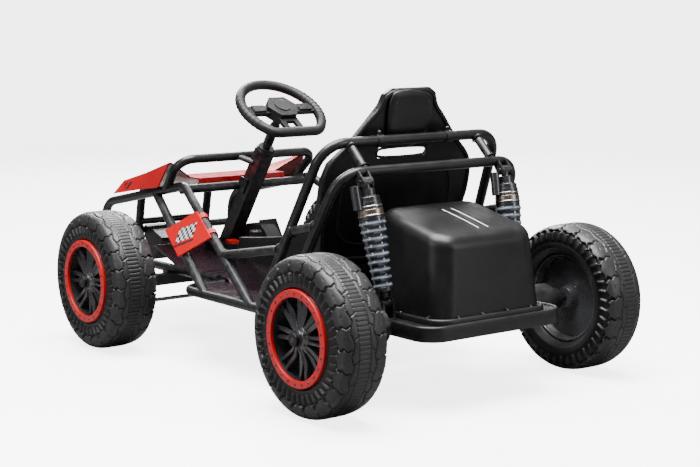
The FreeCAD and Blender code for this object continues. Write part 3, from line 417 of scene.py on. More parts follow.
def tread_height(v, turn, side):
    """How deep the tread is cut (mm) and how crowned it is (0..1, which the tyre material turns into painted groove
    shade), at arc distance v and angle turn.
    """
    pitch = 2 * math.pi * 165 / LUGS
    t = turn / (2 * math.pi) * LUGS + (0.0 if side > 0 else 0.5)
    ribs = np.abs(((turn / (2 * math.pi) * LUGS * 5) % 1) - 0.5) * pitch / 5 * 2
    rib_depth = 2.6 * (1 - smooth_steps(ribs, 1.7, 3.0))
    rim_line = cut(v - STRIP - 0.9, 1.5, 0.4)
    divide = 27.0 + 3.6 * zigzag(t)
    between = cut(v - divide, 2.2)
    small_phase = ((t + 0.5 + (v - 20) * 0.011) % 1 - 0.5) * pitch
    small = cut(small_phase, 2.2)
    big_phase = ((t + 0.055 * zigzag(v / 17.0) - (v - 30) * 0.003) % 1 - 0.5) * pitch
    groove = 2.8 + 6.4 * smooth_steps(v, 42, 60)
    big = cut(big_phase, groove)
    end = 64 + 3 * zigzag(t * 2)
    lug_end = 1 - smooth_steps(v, end - 1.2, end + 1.2)
    bars = np.abs((t * 2 + 0.25 + 0.012 * (v - 76)) % 1 - 0.5) * pitch / 2
    reach = 87 + 5 * zigzag(t)
    bar_span = smooth_steps(v, 66, 67.5) * (1 - smooth_steps(v, reach - 1, reach + 1))
    bar_mask = (1 - smooth_steps(bars, 2.4, 3.6)) * bar_span
    sipe = np.hypot((((t + 0.5) % 1) - 0.5) * pitch / 3.4, v - 43)
    sipe_mask = smooth_steps(sipe, 0.75, 1.35)
    strip = v < STRIP
    inner = (v >= STRIP) & (v < divide)
    outer = v >= divide
    depth = np.where(strip, rib_depth, 0.0)
    depth += np.where(v < STRIP + 3, 2.2 * (1 - rim_line), 0.0)
    depth += np.where(inner, 3.0 * (1 - np.minimum(small, between)), 0.0)
    lug_mask = np.minimum(np.minimum(big, between), lug_end)
    deep = 4.2 + 2.8 * smooth_steps(v, 38, 58)
    fade = 1 - 0.55 * smooth_steps(v, 64, 92)
    depth += np.where(outer, deep * fade * (1 - np.maximum(lug_mask, bar_mask)), 0.0)
    depth += np.where(outer, 1.4 * (1 - sipe_mask), 0.0)
    flat_wall = smooth_steps(v, 92, 97)
    depth = depth * (1 - flat_wall) + 1.8 * flat_wall
    crown = 1 - np.clip(depth / 2.4, 0, 1)
    return depth, np.maximum(crown, flat_wall * 0.75)


def tyre_mesh():
    """One tyre, outboard side towards +X, centred on the origin."""
    step = 1.55
    v_out, p_out = rounded_profile(OUTER_SIDE, step)
    v_in, p_in = rounded_profile(INNER_SIDE, step)
    across = np.concatenate([-p_in[::-1, 0], p_out[1:, 0]])
    radius = np.concatenate([p_in[::-1, 1], p_out[1:, 1]])
    v = np.concatenate([v_in[::-1], v_out[1:]])
    side = np.concatenate([-np.ones(len(v_in)), np.ones(len(v_out) - 1)])
    steps = LUGS * 30
    turns = np.linspace(0, 2 * math.pi, steps, endpoint=False)
    tangent = np.stack([np.gradient(across), np.gradient(radius)], axis=1)
    tangent /= np.linalg.norm(tangent, axis=1)[:, None]
    normal = np.stack([-tangent[:, 1], tangent[:, 0]], axis=1)
    V, T = np.meshgrid(v, turns)
    depth_out, crown_out = tread_height(V, T, 1)
    depth_in, crown_in = tread_height(V, T, -1)
    outboard = np.broadcast_to(side > 0, V.shape)
    depth = np.where(outboard, depth_out, depth_in)
    crown = np.where(outboard, crown_out, crown_in)
    s = across[None, :] - normal[None, :, 0] * depth
    r = radius[None, :] - normal[None, :, 1] * depth
    s, r = s * MM, r * MM
    verts = np.stack([s, -r * np.sin(T), r * np.cos(T)], axis=2).reshape(-1, 3)
    rows, cols = s.shape
    faces = closed_grid(rows, cols, True, False)
    mesh = mesh_from("tyre", verts, faces)
    # The crown layer carries the tyre's painted shade: dark in the grooves, greyer on the crowns.
    layer = mesh.attributes.new("crown", "FLOAT", "POINT")
    layer.data.foreach_set("value", crown.reshape(-1).astype(np.float32))
    bm = bmesh.new()
    bm.from_mesh(mesh)
    loops = [e for e in bm.edges if e.is_boundary]
    bmesh.ops.bridge_loops(bm, edges=loops)
    bmesh.ops.recalc_face_normals(bm, faces=bm.faces)
    bm.to_mesh(mesh)
    bm.free()
    return mesh


def hub_of(wheel):
    """The wheel's centre, and whether it is on the kart's left."""
    low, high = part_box("wheel_" + wheel + "_ring")
    low_t, high_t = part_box("wheel_" + wheel + "_tyre")
    left = low.x > 0
    middle_x = (high.x - RING_FACE) if left else (low.x + RING_FACE)
    return Vector((middle_x, (low_t.y + high_t.y) / 2, TYRE_R)), left


def facing(left):
    """Turns a wheel modelled with its outboard side towards +X to its own side."""
    return Matrix.Identity(4) if left else Matrix.Rotation(math.pi, 4, "Z")


WHEELS = ("front_left", "front_right", "rear_left", "rear_right")


def build_tyres():
    mesh = tyre_mesh()
    for wheel in WHEELS:
        centre, left = hub_of(wheel)
        base = Matrix.Translation(centre) @ facing(left)
        obj = new_piece("tyre_" + wheel, mesh, TYRE, "wheel_" + wheel, base)
        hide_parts("wheel_" + wheel + "_tyre")


# ---------------------------------------------------------------- rims
SHARP = math.radians(38)    # edges sharper than this stay crisp


def turned(name, profile, segments=96):
    """A closed solid turned about X from (across, radius) points in mm, counter-clockwise."""
    verts, n = [], len(profile)
    for k in range(segments):
        a = 2 * math.pi * k / segments
        for s, r in profile:
            verts.append((s * MM, -r * MM * math.sin(a), r * MM * math.cos(a)))
    mesh = mesh_from(name, verts, closed_grid(segments, n))
    mesh.set_sharp_from_angle(angle=SHARP)
    return mesh


def prism(bm, outline, place):
    """A bar in bm: a closed outline of (radial, tangent) points at levels 0 and 1, put in space by place."""
    rings = [[bm.verts.new(place(a, b, level)) for a, b in outline] for level in (0.0, 1.0)]
    n = len(outline)
    bm.faces.new(rings[0][::-1])
    bm.faces.new(rings[1])
    for i in range(n):
        bm.faces.new((rings[0][i], rings[0][(i + 1) % n], rings[1][(i + 1) % n], rings[1][i]))


SPOKES = 8
SPOKE_DEPTH = 9.0


def rim_mesh():
    """Deep barrel, centre disc and eight split spokes, outboard towards +X."""
    bm = bmesh.new()
    barrel = turned("barrel", [(-46, 99.3), (-46, 95), (-40, 91.5), (20, 90.5), (34, 90.2), (41.9, 85.5), (43, 85.5),
                               (43, 89), (41.9, 99.3)])
    back = turned("back", [(-20, 7), (-20, 90), (-24, 90.2), (-24, 30), (-41, 22), (-41, 7)])
    hub = turned("hub", [(-20, 6.2), (-20, 30), (24, 27), (33, 25.5), (38, 22), (41, 17), (43.8, 16), (43.8, 6.2)], 48)
    for part in (barrel, back, hub):
        bm.from_mesh(part)
    for k in range(SPOKES):
        turn = Matrix.Rotation(math.radians(45 * k), 4, "X")
        for tilt in (-1, 1):
            def place(radial, tangent, level):
                lift = 36.5 - 12.5 * smooth_steps(radial, 22, 60) + 7.5 * smooth_steps(radial, 62, 89)
                across = level * SPOKE_DEPTH + lift - SPOKE_DEPTH
                return turn @ Vector((across, tangent, radial)) * MM
            outline = [(20, tilt * 0.4), (50, tilt * 2.8), (91, tilt * 6.4), (91, tilt * 15.0), (50, tilt * 10.4),
                       (20, tilt * 8.0)]
            if tilt > 0:
                outline = outline[::-1]
            prism(bm, outline, place)
    bmesh.ops.recalc_face_normals(bm, faces=bm.faces)
    mesh = bpy.data.meshes.new("rim")
    bm.to_mesh(mesh)
    bm.free()
    return mesh


def build_rims():
    """Rim, ring, ring bolts, hub bolts and hub cap of each wheel."""
    mesh = rim_mesh()
    cap = turned("hub_cap", [(43.9, 1.5), (43.9, 16.5), (45.5, 16.5), (46.5, 14.6), (53.4, 14), (54.9, 12.6),
                             (54.9, 9.4), (54.2, 8.6), (54.2, 1.5)], 64)
    bolt, lug = bolt_mesh(2.3, 1.7), bolt_mesh(2.6, 2.2)
    band_mesh = turned("ring", [(42.05, 83.4), (48.4, 83.4), (49.4, 84.6), (49.4, 97.6), (48.2, 99.0),
                                (42.05, 99.4)])
    for wheel in WHEELS:
        centre, left = hub_of(wheel)
        base = Matrix.Translation(centre) @ facing(left)
        body = "wheel_" + wheel
        rim = new_piece("rim_" + wheel, mesh, RIM, body, base)
        bevelled(rim, 0.0009)
        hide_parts(body + "_rim")
        ring = new_piece("ring_" + wheel, band_mesh, RING, body, base)
        bevelled(ring, 0.0006)
        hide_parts(body + "_ring")
        new_piece("ring_bolts_" + wheel, bolt_circle(bolt, 24, 91.2, 49.0), GUNMETAL, body, base)
        new_piece("hub_bolts_" + wheel, bolt_circle(lug, 6, 21.5, 38.2), GUNMETAL, body, base)
        new_piece("hub_cap_" + wheel, cap, MOULDED, body, base)


BOLT_SIDES = 24


def bolt_mesh(radius, height):
    """Points and faces of a hexagon head with a washer face, along +X, in mm."""
    verts = []
    rings = ((0.0, radius * 1.25), (0.5, radius * 1.25), (0.5, radius), (height * 0.8, radius),
             (height, radius * 0.82))
    for s, r in rings:
        for k in range(BOLT_SIDES):
            a = 2 * math.pi * k / BOLT_SIDES
            hexed = r
            if s > 0.5 or (s == 0.5 and r == radius):
                hexed = r * math.cos(math.pi / 6) / math.cos((a % (math.pi / 3)) - math.pi / 6)
            verts.append((s, hexed * math.cos(a), hexed * math.sin(a)))
    return [Vector(v) for v in verts], capped_skin(len(rings), BOLT_SIDES)


def bolts_at(name, bolt, places):
    """One mesh of bolt heads; places are matrices in metres whose X axis points out of the head."""
    verts, faces = [], []
    for place in places:
        start = len(verts)
        verts += [place @ (v * MM) for v in bolt[0]]
        faces += [tuple(i + start for i in f) for f in bolt[1]]
    return mesh_from(name, verts, faces, smooth=False)


def bolt_circle(bolt, count, radius, across):
    places = [Matrix.Rotation(2 * math.pi * k / count, 4, "X") @ Matrix.Translation((across * MM, 0, radius * MM))
              for k in range(count)]
    return bolts_at("bolt_circle", bolt, places)


# ---------------------------------------------------------------- shock absorbers
def joint_named(name):
    return next(j for j in frame["joints"] if j["name"] == name)


def shock_frame(side):
    """Matrix whose +X runs down the shock from its top eye, and the shock's length in mm."""
    top = Vector(joint_named("shock_" + side + "_eye")["pos_m"])
    down = -Vector(joint_named("shock_" + side + "_stroke")["axis"])
    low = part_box("shock_" + side + "_rod")[0]
    length = (top.z - low.z) / -down.z / MM - 10.0
    turn = down.to_track_quat("X", "Z").to_matrix().to_4x4()
    return Matrix.Translation(top) @ turn, length


COVER_RIBS = 9
COVER_SIDES = 72
COLLARS = [(32.0, 23.4, 18.0, GUNMETAL), (50.0, 26.4, 3.2, STEEL), (53.4, 25.8, 4.2, GUNMETAL),
           (57.6, 26.6, 11.0, BRONZE), (68.8, 28.0, 3.2, STEEL), (72.2, 26.8, 7.0, GUNMETAL)]


def cover_mesh(first, last):
    """Ribbed cover: nine soft ribs that narrow downwards, open at both ends like the real one."""
    n = COVER_RIBS * 12
    outer, crown = [], []
    for i in range(n + 1):
        k = i / n * COVER_RIBS
        wide = 29.3 - 9.0 * i / n
        wave = 0.5 - 0.5 * math.cos(2 * math.pi * k)
        shape = wave ** 2.2
        outer.append((first + (last - first) * i / n, wide - 2.3 + 2.2 * shape))
        crown.append(shape)
    inner = [(s, r - 1.6) for s, r in reversed(outer)]
    mesh = turned("shock_cover", outer + inner, COVER_SIDES)
    # The crown layer marks the rib crests, where the cover's material paints its highlight.
    values = (crown + [0.0] * len(inner)) * COVER_SIDES
    layer = mesh.attributes.new("crown", "FLOAT", "POINT")
    layer.data.foreach_set("value", np.array(values, np.float32))
    return mesh


def build_shocks():
    """Ribbed cover and collars on the shock's body, and the bellows on its rod."""
    for side in ("left", "right"):
        place, length = shock_frame(side)
        body, rod_body = "shock_" + side + "_body", "shock_" + side + "_rod"
        cover = new_piece("shock_cover_" + side, cover_mesh(79.0, length - 30.0), COVER_PLASTIC, body,
                          place)
        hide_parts("shock_" + side + "_spring")
        for k, (s, r, wide, material) in enumerate(COLLARS):
            end = s + wide
            ring = turned("collar", [(s, 19), (end, 19), (end, r - 0.7), (end - 0.7, r), (s + 0.7, r), (s, r - 0.7)],
                          COVER_SIDES)
            new_piece("shock_collar_%s_%d" % (side, k), ring, material, body, place)
        boot = [(length - 40, 8), (length - 12, 8)]
        for k in range(14):
            boot.append((length - 12.5 - k * 2.1, 10.8 + 0.28 * k + (1.3 if k % 2 else 0)))
        new_piece("shock_boot_" + side, turned("boot", boot, 64), MOULDED, rod_body, place)


# ---------------------------------------------------------------- refined copies of moulded parts
def refined(node, name, material, body, width, angle):
    """A copy of a CAD part's mesh, cleaned to flat faces and given rounded edges."""
    mesh = frame["nodes"][node].data.copy()
    bm = bmesh.new()
    bm.from_mesh(mesh)
    bmesh.ops.remove_doubles(bm, verts=bm.verts, dist=1e-5)
    bmesh.ops.dissolve_limit(bm, angle_limit=math.radians(1.0), verts=bm.verts, edges=bm.edges)
    bmesh.ops.recalc_face_normals(bm, faces=bm.faces)
    for face in bm.faces:
        face.smooth = True
    bm.to_mesh(mesh)
    bm.free()
    mesh.materials.clear()
    obj = new_piece(name, mesh, material, body)
    bevelled(obj, width, 3, angle)
    weighted = obj.modifiers.new("shading", "WEIGHTED_NORMAL")
    weighted.keep_sharp = True
    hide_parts(node)


# ---------------------------------------------------------------- seat
def tube_along(name, points, radius, material, body, resolution=6):
    """A round closed tube through points in metres."""
    curve = bpy.data.curves.new(name, "CURVE")
    curve.dimensions = "3D"
    curve.bevel_depth = radius
    curve.bevel_resolution = resolution
    spline = curve.splines.new("POLY")
    spline.points.add(len(points) - 1)
    for point, co in zip(spline.points, points):
        point.co = (*co, 1)
    spline.use_cyclic_u = True
    return new_piece(name, curve, material, body)


def softened(points, rounds):
    """Corner cutting: a smooth closed line from a few corners."""
    for _ in range(rounds):
        points = [a.lerp(b, k) for a, b in zip(points, points[1:] + points[:1]) for k in (0.25, 0.75)]
    return points


SEAT_TILT = math.tan(math.radians(12.7))
SEAT_NORMAL = Vector((0, 1, -SEAT_TILT)).normalized()   # out of the seat back's rear face
HEADREST_Z = 575                                        # height of the headrest's middle, mm


def seat_back(x, z, lift=0.0):
    """A point of the seat back's rear face, lifted along its normal, in mm in and metres out."""
    y = 307.0 + (z - 386.0) * SEAT_TILT
    return (Vector((x, y, z)) + SEAT_NORMAL * lift) * MM


SEAT_EDGE = [(0, 640), (52, 640), (72, 628), (80, 605), (105, 575), (128, 548), (156, 518), (196, 484), (208, 450),
             (208, 400), (200, 372), (196, 330), (190, 262)]


def both_sides(half):
    return half + [(-x, z) for x, z in reversed(half) if x > 0]


def seat_bead(name, corners, lift, rounds, radius):
    """A bead along the seat back's rear face, through corners (x, z) in mm."""
    line = softened([seat_back(x, z, lift) for x, z in corners], rounds)
    tube_along(name, line, radius, SEAT, "chassis")


def build_seat():
    refined("seat_shell", "seat_shell_moulding", SEAT, "chassis", 0.0025, 35)
    edge = [(x - (5 if x > 5 else 0), z - (6.5 if z > 600 else 0)) for x, z in SEAT_EDGE]
    seat_bead("seat_back_lip", both_sides(edge), -1.0, 2, 0.0058)
    lower = [(0, 470), (120, 470), (150, 440), (156, 380), (146, 300), (0, 292)]
    seat_bead("seat_back_rib_low", both_sides(lower), -0.6, 3, 0.0032)
    window = [(66, 511), (73, 500), (66, 489), (-66, 489), (-73, 500), (-66, 511)]
    seat_bead("seat_window_lip", window, -0.5, 2, 0.003)


def build_headrest_shell():
    """Bulging shell behind the headrest, with a curved lower edge and two screws a side."""
    half = [(0, 638), (44, 637), (56, 628), (61, 606), (60, 566), (52, 536), (36, 520), (18, 513), (0, 511)]
    line = softened([Vector((x, z, 0)) for x, z in both_sides(half)[:-1]], 2)
    levels = ((1.0, -2.0), (1.0, 5.0), (0.985, 8.5), (0.94, 11.0), (0.8, 12.6), (0.5, 13.6))
    verts = [seat_back(p.x * k, HEADREST_Z + (p.y - HEADREST_Z) * k, lift) for k, lift in levels for p in line]
    mesh = mesh_from("headrest_shell", verts, capped_skin(len(levels), len(line)))
    new_piece("headrest_shell", mesh, SEAT, "chassis")
    turn = SEAT_NORMAL.to_track_quat("X", "Z").to_matrix().to_4x4()
    places = [Matrix.Translation(seat_back(side * 44, z, 11.2)) @ turn for side in (-1, 1) for z in (600, 612)]
    new_piece("headrest_screws", bolts_at("headrest_screws", bolt_mesh(2.2, 1.6), places), GUNMETAL, "chassis")


REMESH_VOXEL = 0.005
CLOTH_FRAMES = 20
CLOTH_PRESSURE = 4.0
PAD_FACE = Vector((0, -1, 0.22)).normalized()           # the way the back and head pads face


def stuffed(node, name, swell, channels):
    """A cushion: the CAD pad remeshed, puffed by cloth pressure with its growth capped, then channelled."""
    source = frame["nodes"][node]
    obj = new_piece(name, source.data.copy(), None, "chassis")
    obj.data.materials.clear()
    obj.data.materials.append(LEATHER)
    low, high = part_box(node)
    centre = (low + high) / 2
    size = high - low
    shrink = Vector([1 - 2 * swell / s for s in size])
    for v in obj.data.vertices:
        v.co = centre + Vector([(v.co[i] - centre[i]) * shrink[i] for i in range(3)])
    settle(obj, swell)
    for poly in obj.data.polygons:
        poly.use_smooth = True
    channels(obj)
    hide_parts(node)


def apply_modifiers(obj):
    depsgraph = bpy.context.evaluated_depsgraph_get()
    mesh = bpy.data.meshes.new_from_object(obj.evaluated_get(depsgraph))
    obj.modifiers.clear()
    old = obj.data
    obj.data = mesh
    bpy.data.meshes.remove(old)


def settle(obj, swell):
    """Voxel remesh, then cloth with inner pressure; no point moves further than swell."""
    remesh = obj.modifiers.new("remesh", "REMESH")
    remesh.mode = "VOXEL"
    remesh.voxel_size = REMESH_VOXEL
    smooth = obj.modifiers.new("round", "SMOOTH")
    smooth.iterations = 6
    apply_modifiers(obj)
    rest = np.zeros(len(obj.data.vertices) * 3)
    obj.data.vertices.foreach_get("co", rest)
    cloth = obj.modifiers.new("cloth", "CLOTH")
    cloth.settings.use_pressure = True
    cloth.settings.uniform_pressure_force = CLOTH_PRESSURE
    cloth.settings.effector_weights.gravity = 0.0
    cloth.point_cache.frame_start, cloth.point_cache.frame_end = 1, CLOTH_FRAMES
    for step in range(1, CLOTH_FRAMES + 1):
        bpy.context.scene.frame_set(step)
    apply_modifiers(obj)
    bpy.context.scene.frame_set(1)
    moved = np.zeros_like(rest)
    obj.data.vertices.foreach_get("co", moved)
    rest, moved = rest.reshape(-1, 3), moved.reshape(-1, 3)
    shift = moved - rest
    length = np.linalg.norm(shift, axis=1)[:, None]
    shift *= np.minimum(1.0, swell / np.maximum(length, 1e-9))
    obj.data.vertices.foreach_set("co", (rest + shift).reshape(-1))
    sub = obj.modifiers.new("fine", "SUBSURF")
    sub.levels = sub.render_levels = 1
    apply_modifiers(obj)


def press_lines(obj, distance_to_line, depth, width, direction):
    """Sew channels: points near a line on the facing side are drawn in."""
    for v in obj.data.vertices:
        if v.normal.dot(direction) < 0.25:
            continue
        d = distance_to_line(v.co)
        if d < width * 3:
            v.co -= direction * depth * math.exp(-(d / width) ** 2)


def cushion_channels(obj):
    def line(co):
        across = abs(abs(co.x) - 0.082)
        rows = min(abs(co.y - y) for y in (0.045, 0.115, 0.185)) if abs(co.x) < 0.082 else 1.0
        return min(across, rows)
    press_lines(obj, line, 0.0045, 0.0045, Z_AXIS)


def back_channels(obj):
    def line(co):
        across = abs(abs(co.x) - 0.075)
        rows = min(abs(co.z - z) for z in (0.33, 0.38, 0.43)) if abs(co.x) < 0.075 else 1.0
        return min(across, rows)
    press_lines(obj, line, 0.004, 0.0045, PAD_FACE)


def rest_channels(obj):
    press_lines(obj, lambda co: abs(co.z - HEADREST_Z * MM), 0.003, 0.004, PAD_FACE)


def build_cushions():
    stuffed("seat_cushion", "seat_cushion_pad", 0.006, cushion_channels)
    stuffed("seat_back_pad", "seat_back_cushion", 0.005, back_channels)
    stuffed("headrest_pad", "headrest_cushion", 0.004, rest_channels)


# ---------------------------------------------------------------- steering wheel, column and frame details
def column_frame():
    """The column's joint, its axis, and the direction from the wheel's centre to the wheel's bottom."""
    joint = joint_named("steering_column")
    axis = Vector(joint["axis"])
    base = Vector(joint["pos_m"])
    rear = axis.cross(X_AXIS).normalized()
    return base, axis, -rear if rear.y < 0 else rear


def column_matrix(z):
    """+X along the column's axis, +Y to the vehicle's left, from the axis' point at height z (m)."""
    base, axis, _ = column_frame()
    point = base + axis * ((z - base.z) / axis.z)
    turn = Matrix((axis, X_AXIS, axis.cross(X_AXIS))).transposed().to_4x4()
    return Matrix.Translation(point) @ turn


def build_steering():
    refined("steering_hub", "steering_hub_moulding", MOULDED, "steering", 0.0022, 30)
    count, pitch = 13, 4.6
    ribs = [(0, 9.2)]
    for k in range(count):
        s = k * pitch
        ribs += [(s + 0.3, 10.2), (s + 1.0, 12.2), (s + 2.9, 12.2), (s + 3.6, 10.2)]
    ribs += [(count * pitch, 10.0), (count * pitch, 9.2)]
    gaiter = turned("gaiter", ribs[::-1], 48)
    new_piece("shaft_gaiter", gaiter, GRIP, "steering", column_matrix(0.482))
    profile = [(0, 12), (0, 21.5), (2, 23), (8, 23), (10, 21.5), (13, 18.5), (16, 17.5), (16, 12)]
    collar = turned("collar", profile[::-1], 56)
    new_piece("column_collar", collar, MOULDED, "chassis", column_matrix(0.4605))
    build_grip()


RIM_TUBE = 12.0             # the grip's thickness, mm
RIM_RADIUS = 103.0
RIM_FLAT = 82.5             # how far below the centre the flat bottom lies
RIM_FILLET = 30.0
RIDGE_SIDES = 28


def rim_path():
    """The grip's middle line, in the wheel's plane: right is +u, the wheel's bottom is +v, mm."""
    reach, drop = RIM_RADIUS - RIM_FILLET, RIM_FLAT - RIM_FILLET
    aside = math.sqrt(reach ** 2 - drop ** 2)
    join = math.atan2(drop, aside)
    half = [(RIM_RADIUS * math.cos(a), RIM_RADIUS * math.sin(a)) for a in np.linspace(-math.pi / 2, join, 40)]
    half += [(aside + RIM_FILLET * math.cos(a), drop + RIM_FILLET * math.sin(a))
             for a in np.linspace(join, math.pi / 2, 12)[1:]]
    half += [(aside * k, RIM_FLAT) for k in (0.66, 0.33, 0.0)]
    return half + [(-u, v) for u, v in half[-2:0:-1]]


def build_grip():
    """Thick wheel grip with finger ridges on its left and right."""
    low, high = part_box("steering_rim")
    base, axis, rear = column_frame()
    centre = base + axis * (((low + high) / 2 - base).dot(axis))
    path = [centre + (X_AXIS * u + rear * v) * MM for u, v in rim_path()]
    grip = tube_along("steering_grip", path, RIM_TUBE * MM, GRIP, "steering", resolution=8)
    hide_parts("steering_rim")
    verts, faces = [], []
    for side in (-1, 1):
        for k in range(-4, 5):
            a = math.radians(k * 7.0)
            out = X_AXIS * side * math.cos(a) + rear * math.sin(a)
            along = -X_AXIS * side * math.sin(a) + rear * math.cos(a)
            start = len(verts)
            for s, r in ((-1.6, -0.4), (-0.9, 0.7), (0.9, 0.7), (1.6, -0.4)):
                for j in range(RIDGE_SIDES):
                    b = 2 * math.pi * j / RIDGE_SIDES
                    spoke = (out * math.cos(b) + axis * math.sin(b)) * (RIM_TUBE + r)
                    verts.append(centre + (out * RIM_RADIUS + spoke + along * s) * MM)
            faces += [tuple(i + start for i in f) for f in closed_grid(4, RIDGE_SIDES, False, True)]
    new_piece("rim_ridges", mesh_from("rim_ridges", verts, faces), GRIP, "steering")


def along_x(point, axis, mirror=False):
    """Matrix at a point (mm) with +X along axis, on the kart's other side if mirrored."""
    p, a = Vector(point) * MM, Vector(axis).normalized()
    if mirror:
        p.x, a.x = -p.x, -a.x
    return Matrix.Translation(p) @ a.to_track_quat("X", "Z").to_matrix().to_4x4()


def weld_mesh():
    """A rippled fillet weld round the end of a tube, in mm along +X."""
    verts = []
    steps = 90
    for k in range(steps):
        a = 2 * math.pi * k / steps
        ripple = 0.35 * abs(math.sin(a * 15))
        for s, r in ((0.0, 11.0), (0.0, 13.6 + ripple), (1.4, 13.4 + ripple), (3.4 + ripple, 11.9), (4.4, 11.0)):
            verts.append((s * MM, r * MM * math.cos(a), r * MM * math.sin(a)))
    return mesh_from("weld", verts, closed_grid(steps, 5))


WELDS = [  # where a tube's end meets another tube, the way it leaves, and how far along the weld starts, mm
    ((247.8, -9.5, 252), (24, 273, 48), 11), ((272.2, 263.6, 300.4), (-24, -273, -48), 11),
    ((267.0, 282.6, 340.7), (-6, 95, 21), 11), ((261.1, 378.1, 361.8), (6, -95, -21), 11),
    ((177, 372, 531), (0, 59, -56), 11), ((177, 431, 475), (0, -59, 56), 11),
]


def build_welds():
    mesh = weld_mesh()
    for k, (point, axis, back) in enumerate(WELDS):
        for mirror in (False, True):
            start = Vector(point) + Vector(axis).normalized() * back
            name = "weld_%d_%s" % (k, "right" if mirror else "left")
            new_piece(name, mesh, POWDER, "chassis", along_x(start, axis, mirror))


def upright_bolts(name, points, radius, height, body):
    """Bolt heads that point up, at points in mm."""
    places = [Matrix.Translation(Vector(p) * MM) @ Matrix.Rotation(-math.pi / 2, 4, "Y") for p in points]
    new_piece(name, bolts_at(name, bolt_mesh(radius, height), places), GUNMETAL, body)


CORNER_STEPS = 14


def rounded_rectangle(half_x, y0, y1, corner):
    """Points of a rectangle with round corners, in mm."""
    points = []
    for cx, cy, start in ((half_x - corner, y1 - corner, 0), (-half_x + corner, y1 - corner, 90),
                          (-half_x + corner, y0 + corner, 180), (half_x - corner, y0 + corner, 270)):
        for k in range(CORNER_STEPS + 1):
            a = math.radians(start + 90 * k / CORNER_STEPS)
            points.append((cx + corner * math.cos(a), cy + corner * math.sin(a)))
    return points


def stacked(name, rings):
    """A closed skin through rings of (x, y, z) points in mm, capped at both ends."""
    verts = [Vector(p) * MM for ring in rings for p in ring]
    mesh = mesh_from(name, verts, capped_skin(len(rings), len(rings[0])))
    mesh.set_sharp_from_angle(angle=SHARP)
    return mesh


COVER_BASE = (148, 392, 634, 44)            # half width, front, rear and corner radius, mm
COVER_LEAN = (12, 14, 12)                   # how far sides, front and rear lean in to the top
COVER_ROUND = 27.0                          # radius of the edge round its top
COVER_FOOT = 188                            # height of its lower edge, mm


def cover_top(y):
    """Height of the cover's sloping top, mm."""
    return 393.0 - (y - 430) * 0.222


def cover_ring(rise, inset, drop):
    """A ring of the cover: rise 0 at the flange to 1 at the top, then inset with drop below the top's plane."""
    half, front, rear, corner = COVER_BASE
    side, ahead, behind = (lean * rise for lean in COVER_LEAN)
    flat = rounded_rectangle(half - side - inset, front + ahead + inset, rear - behind - inset,
                             max(corner - inset, 4) + 4 * rise)
    return [(x, y, COVER_FOOT + (cover_top(y) - drop - COVER_FOOT) * rise) for x, y in flat]


def build_rear_box():
    """The big round-cornered cover with its flange, on the lipped deck tray."""
    rings = [cover_ring(k / 10, 0, COVER_ROUND) for k in range(11)]
    for a in range(9, 91, 9):
        turn = math.radians(a)
        rings.append(cover_ring(1, COVER_ROUND * (1 - math.cos(turn)), COVER_ROUND * (1 - math.sin(turn))))
    rings += [cover_ring(1, inset, -crown) for inset, crown in ((40, 0.8), (60, 1.6), (85, 2.2))]
    cover = new_piece("motor_cover_moulding", stacked("cover", rings), COVER, "rear_swing")
    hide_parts("motor_cover")
    skirt = ((16, 176), (0, 176), (0, 185), (1, 187.5), (3.5, 189), (6, 189.2), (8, 188), (9, 186), (16, 186))
    rings = [[(x, y, z) for x, y in rounded_rectangle(158 - i, 384 + i, 644 - i, 46 - i)] for i, z in skirt]
    flange = new_piece("cover_flange", stacked("flange", rings), MOULDED, "rear_swing")
    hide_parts("motor_cover")
    tray = ((60, 165), (5, 165), (5, 150), (4, 148), (1.5, 148), (0, 150), (0, 176), (1, 178.5), (3.5, 180), (6, 180),
            (8, 178.5), (9, 176), (60, 176))
    rings = [[(x, y, z) for x, y in rounded_rectangle(194 - i, 342 + i, 654 - i, 50 - min(i, 30))] for i, z in tray]
    deck = new_piece("deck_moulding", stacked("deck", rings), MOULDED, "rear_swing")
    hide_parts("deck")


def build_details():
    """Screws, the rear box, and the moulded parts with rounded edges."""
    bolts = [(x, 638, 189) for x in (-100, -34, 34, 100)]
    bolts += [(side * 152, y, 189) for side in (-1, 1) for y in (430, 515, 600)]
    upright_bolts("cover_screws", bolts, 2.6, 2.0, "rear_swing")
    clamps = [(side * 95, 372, 549.6) for side in (-1, 1)]
    upright_bolts("clamp_screws", clamps, 4.2, 3.0, "chassis")
    build_rear_box()
    refined("console", "console_moulding", MOULDED, "chassis", 0.003, 30)
    refined("hood_shell", "hood_moulding", HOOD, "chassis", 0.0016, 25)
    refined("side_panel", "side_panel_moulding", PANEL, "chassis", 0.0014, 35)
    refined("nose_panel", "nose_panel_moulding", MOULDED, "chassis", 0.004, 25)


# ---------------------------------------------------------------- stage, light and camera
ROOM_LIGHT = 0.32           # grey studio round the object
BACKDROP_LIGHT = 6.0        # what shows above the backdrop's edge
PAPER_GLOW = 4.0            # lifts the paper to white without lighting the object
PAPER_BOUNCE = 0.16         # how pale the paper is to the object, as if it were flagged off


def backdrop_mesh():
    """Round floor whose edge sweeps up all round, so that no horizon shows."""
    flat, sweep, sides = 5.5, 3.0, 96
    profile = [(0.01, 0.0), (2.0, 0.0), (flat, 0.0)]
    profile += [(flat + sweep * math.sin(math.radians(a)), sweep - sweep * math.cos(math.radians(a)))
                for a in range(6, 91, 6)]
    verts = [(r * math.cos(2 * math.pi * k / sides), r * math.sin(2 * math.pi * k / sides), z)
             for k in range(sides) for r, z in profile]
    return mesh_from("backdrop", verts, closed_grid(sides, len(profile), True, False))


def camera_rays(tree):
    return tree.nodes.new("ShaderNodeLightPath").outputs["Is Camera Ray"]


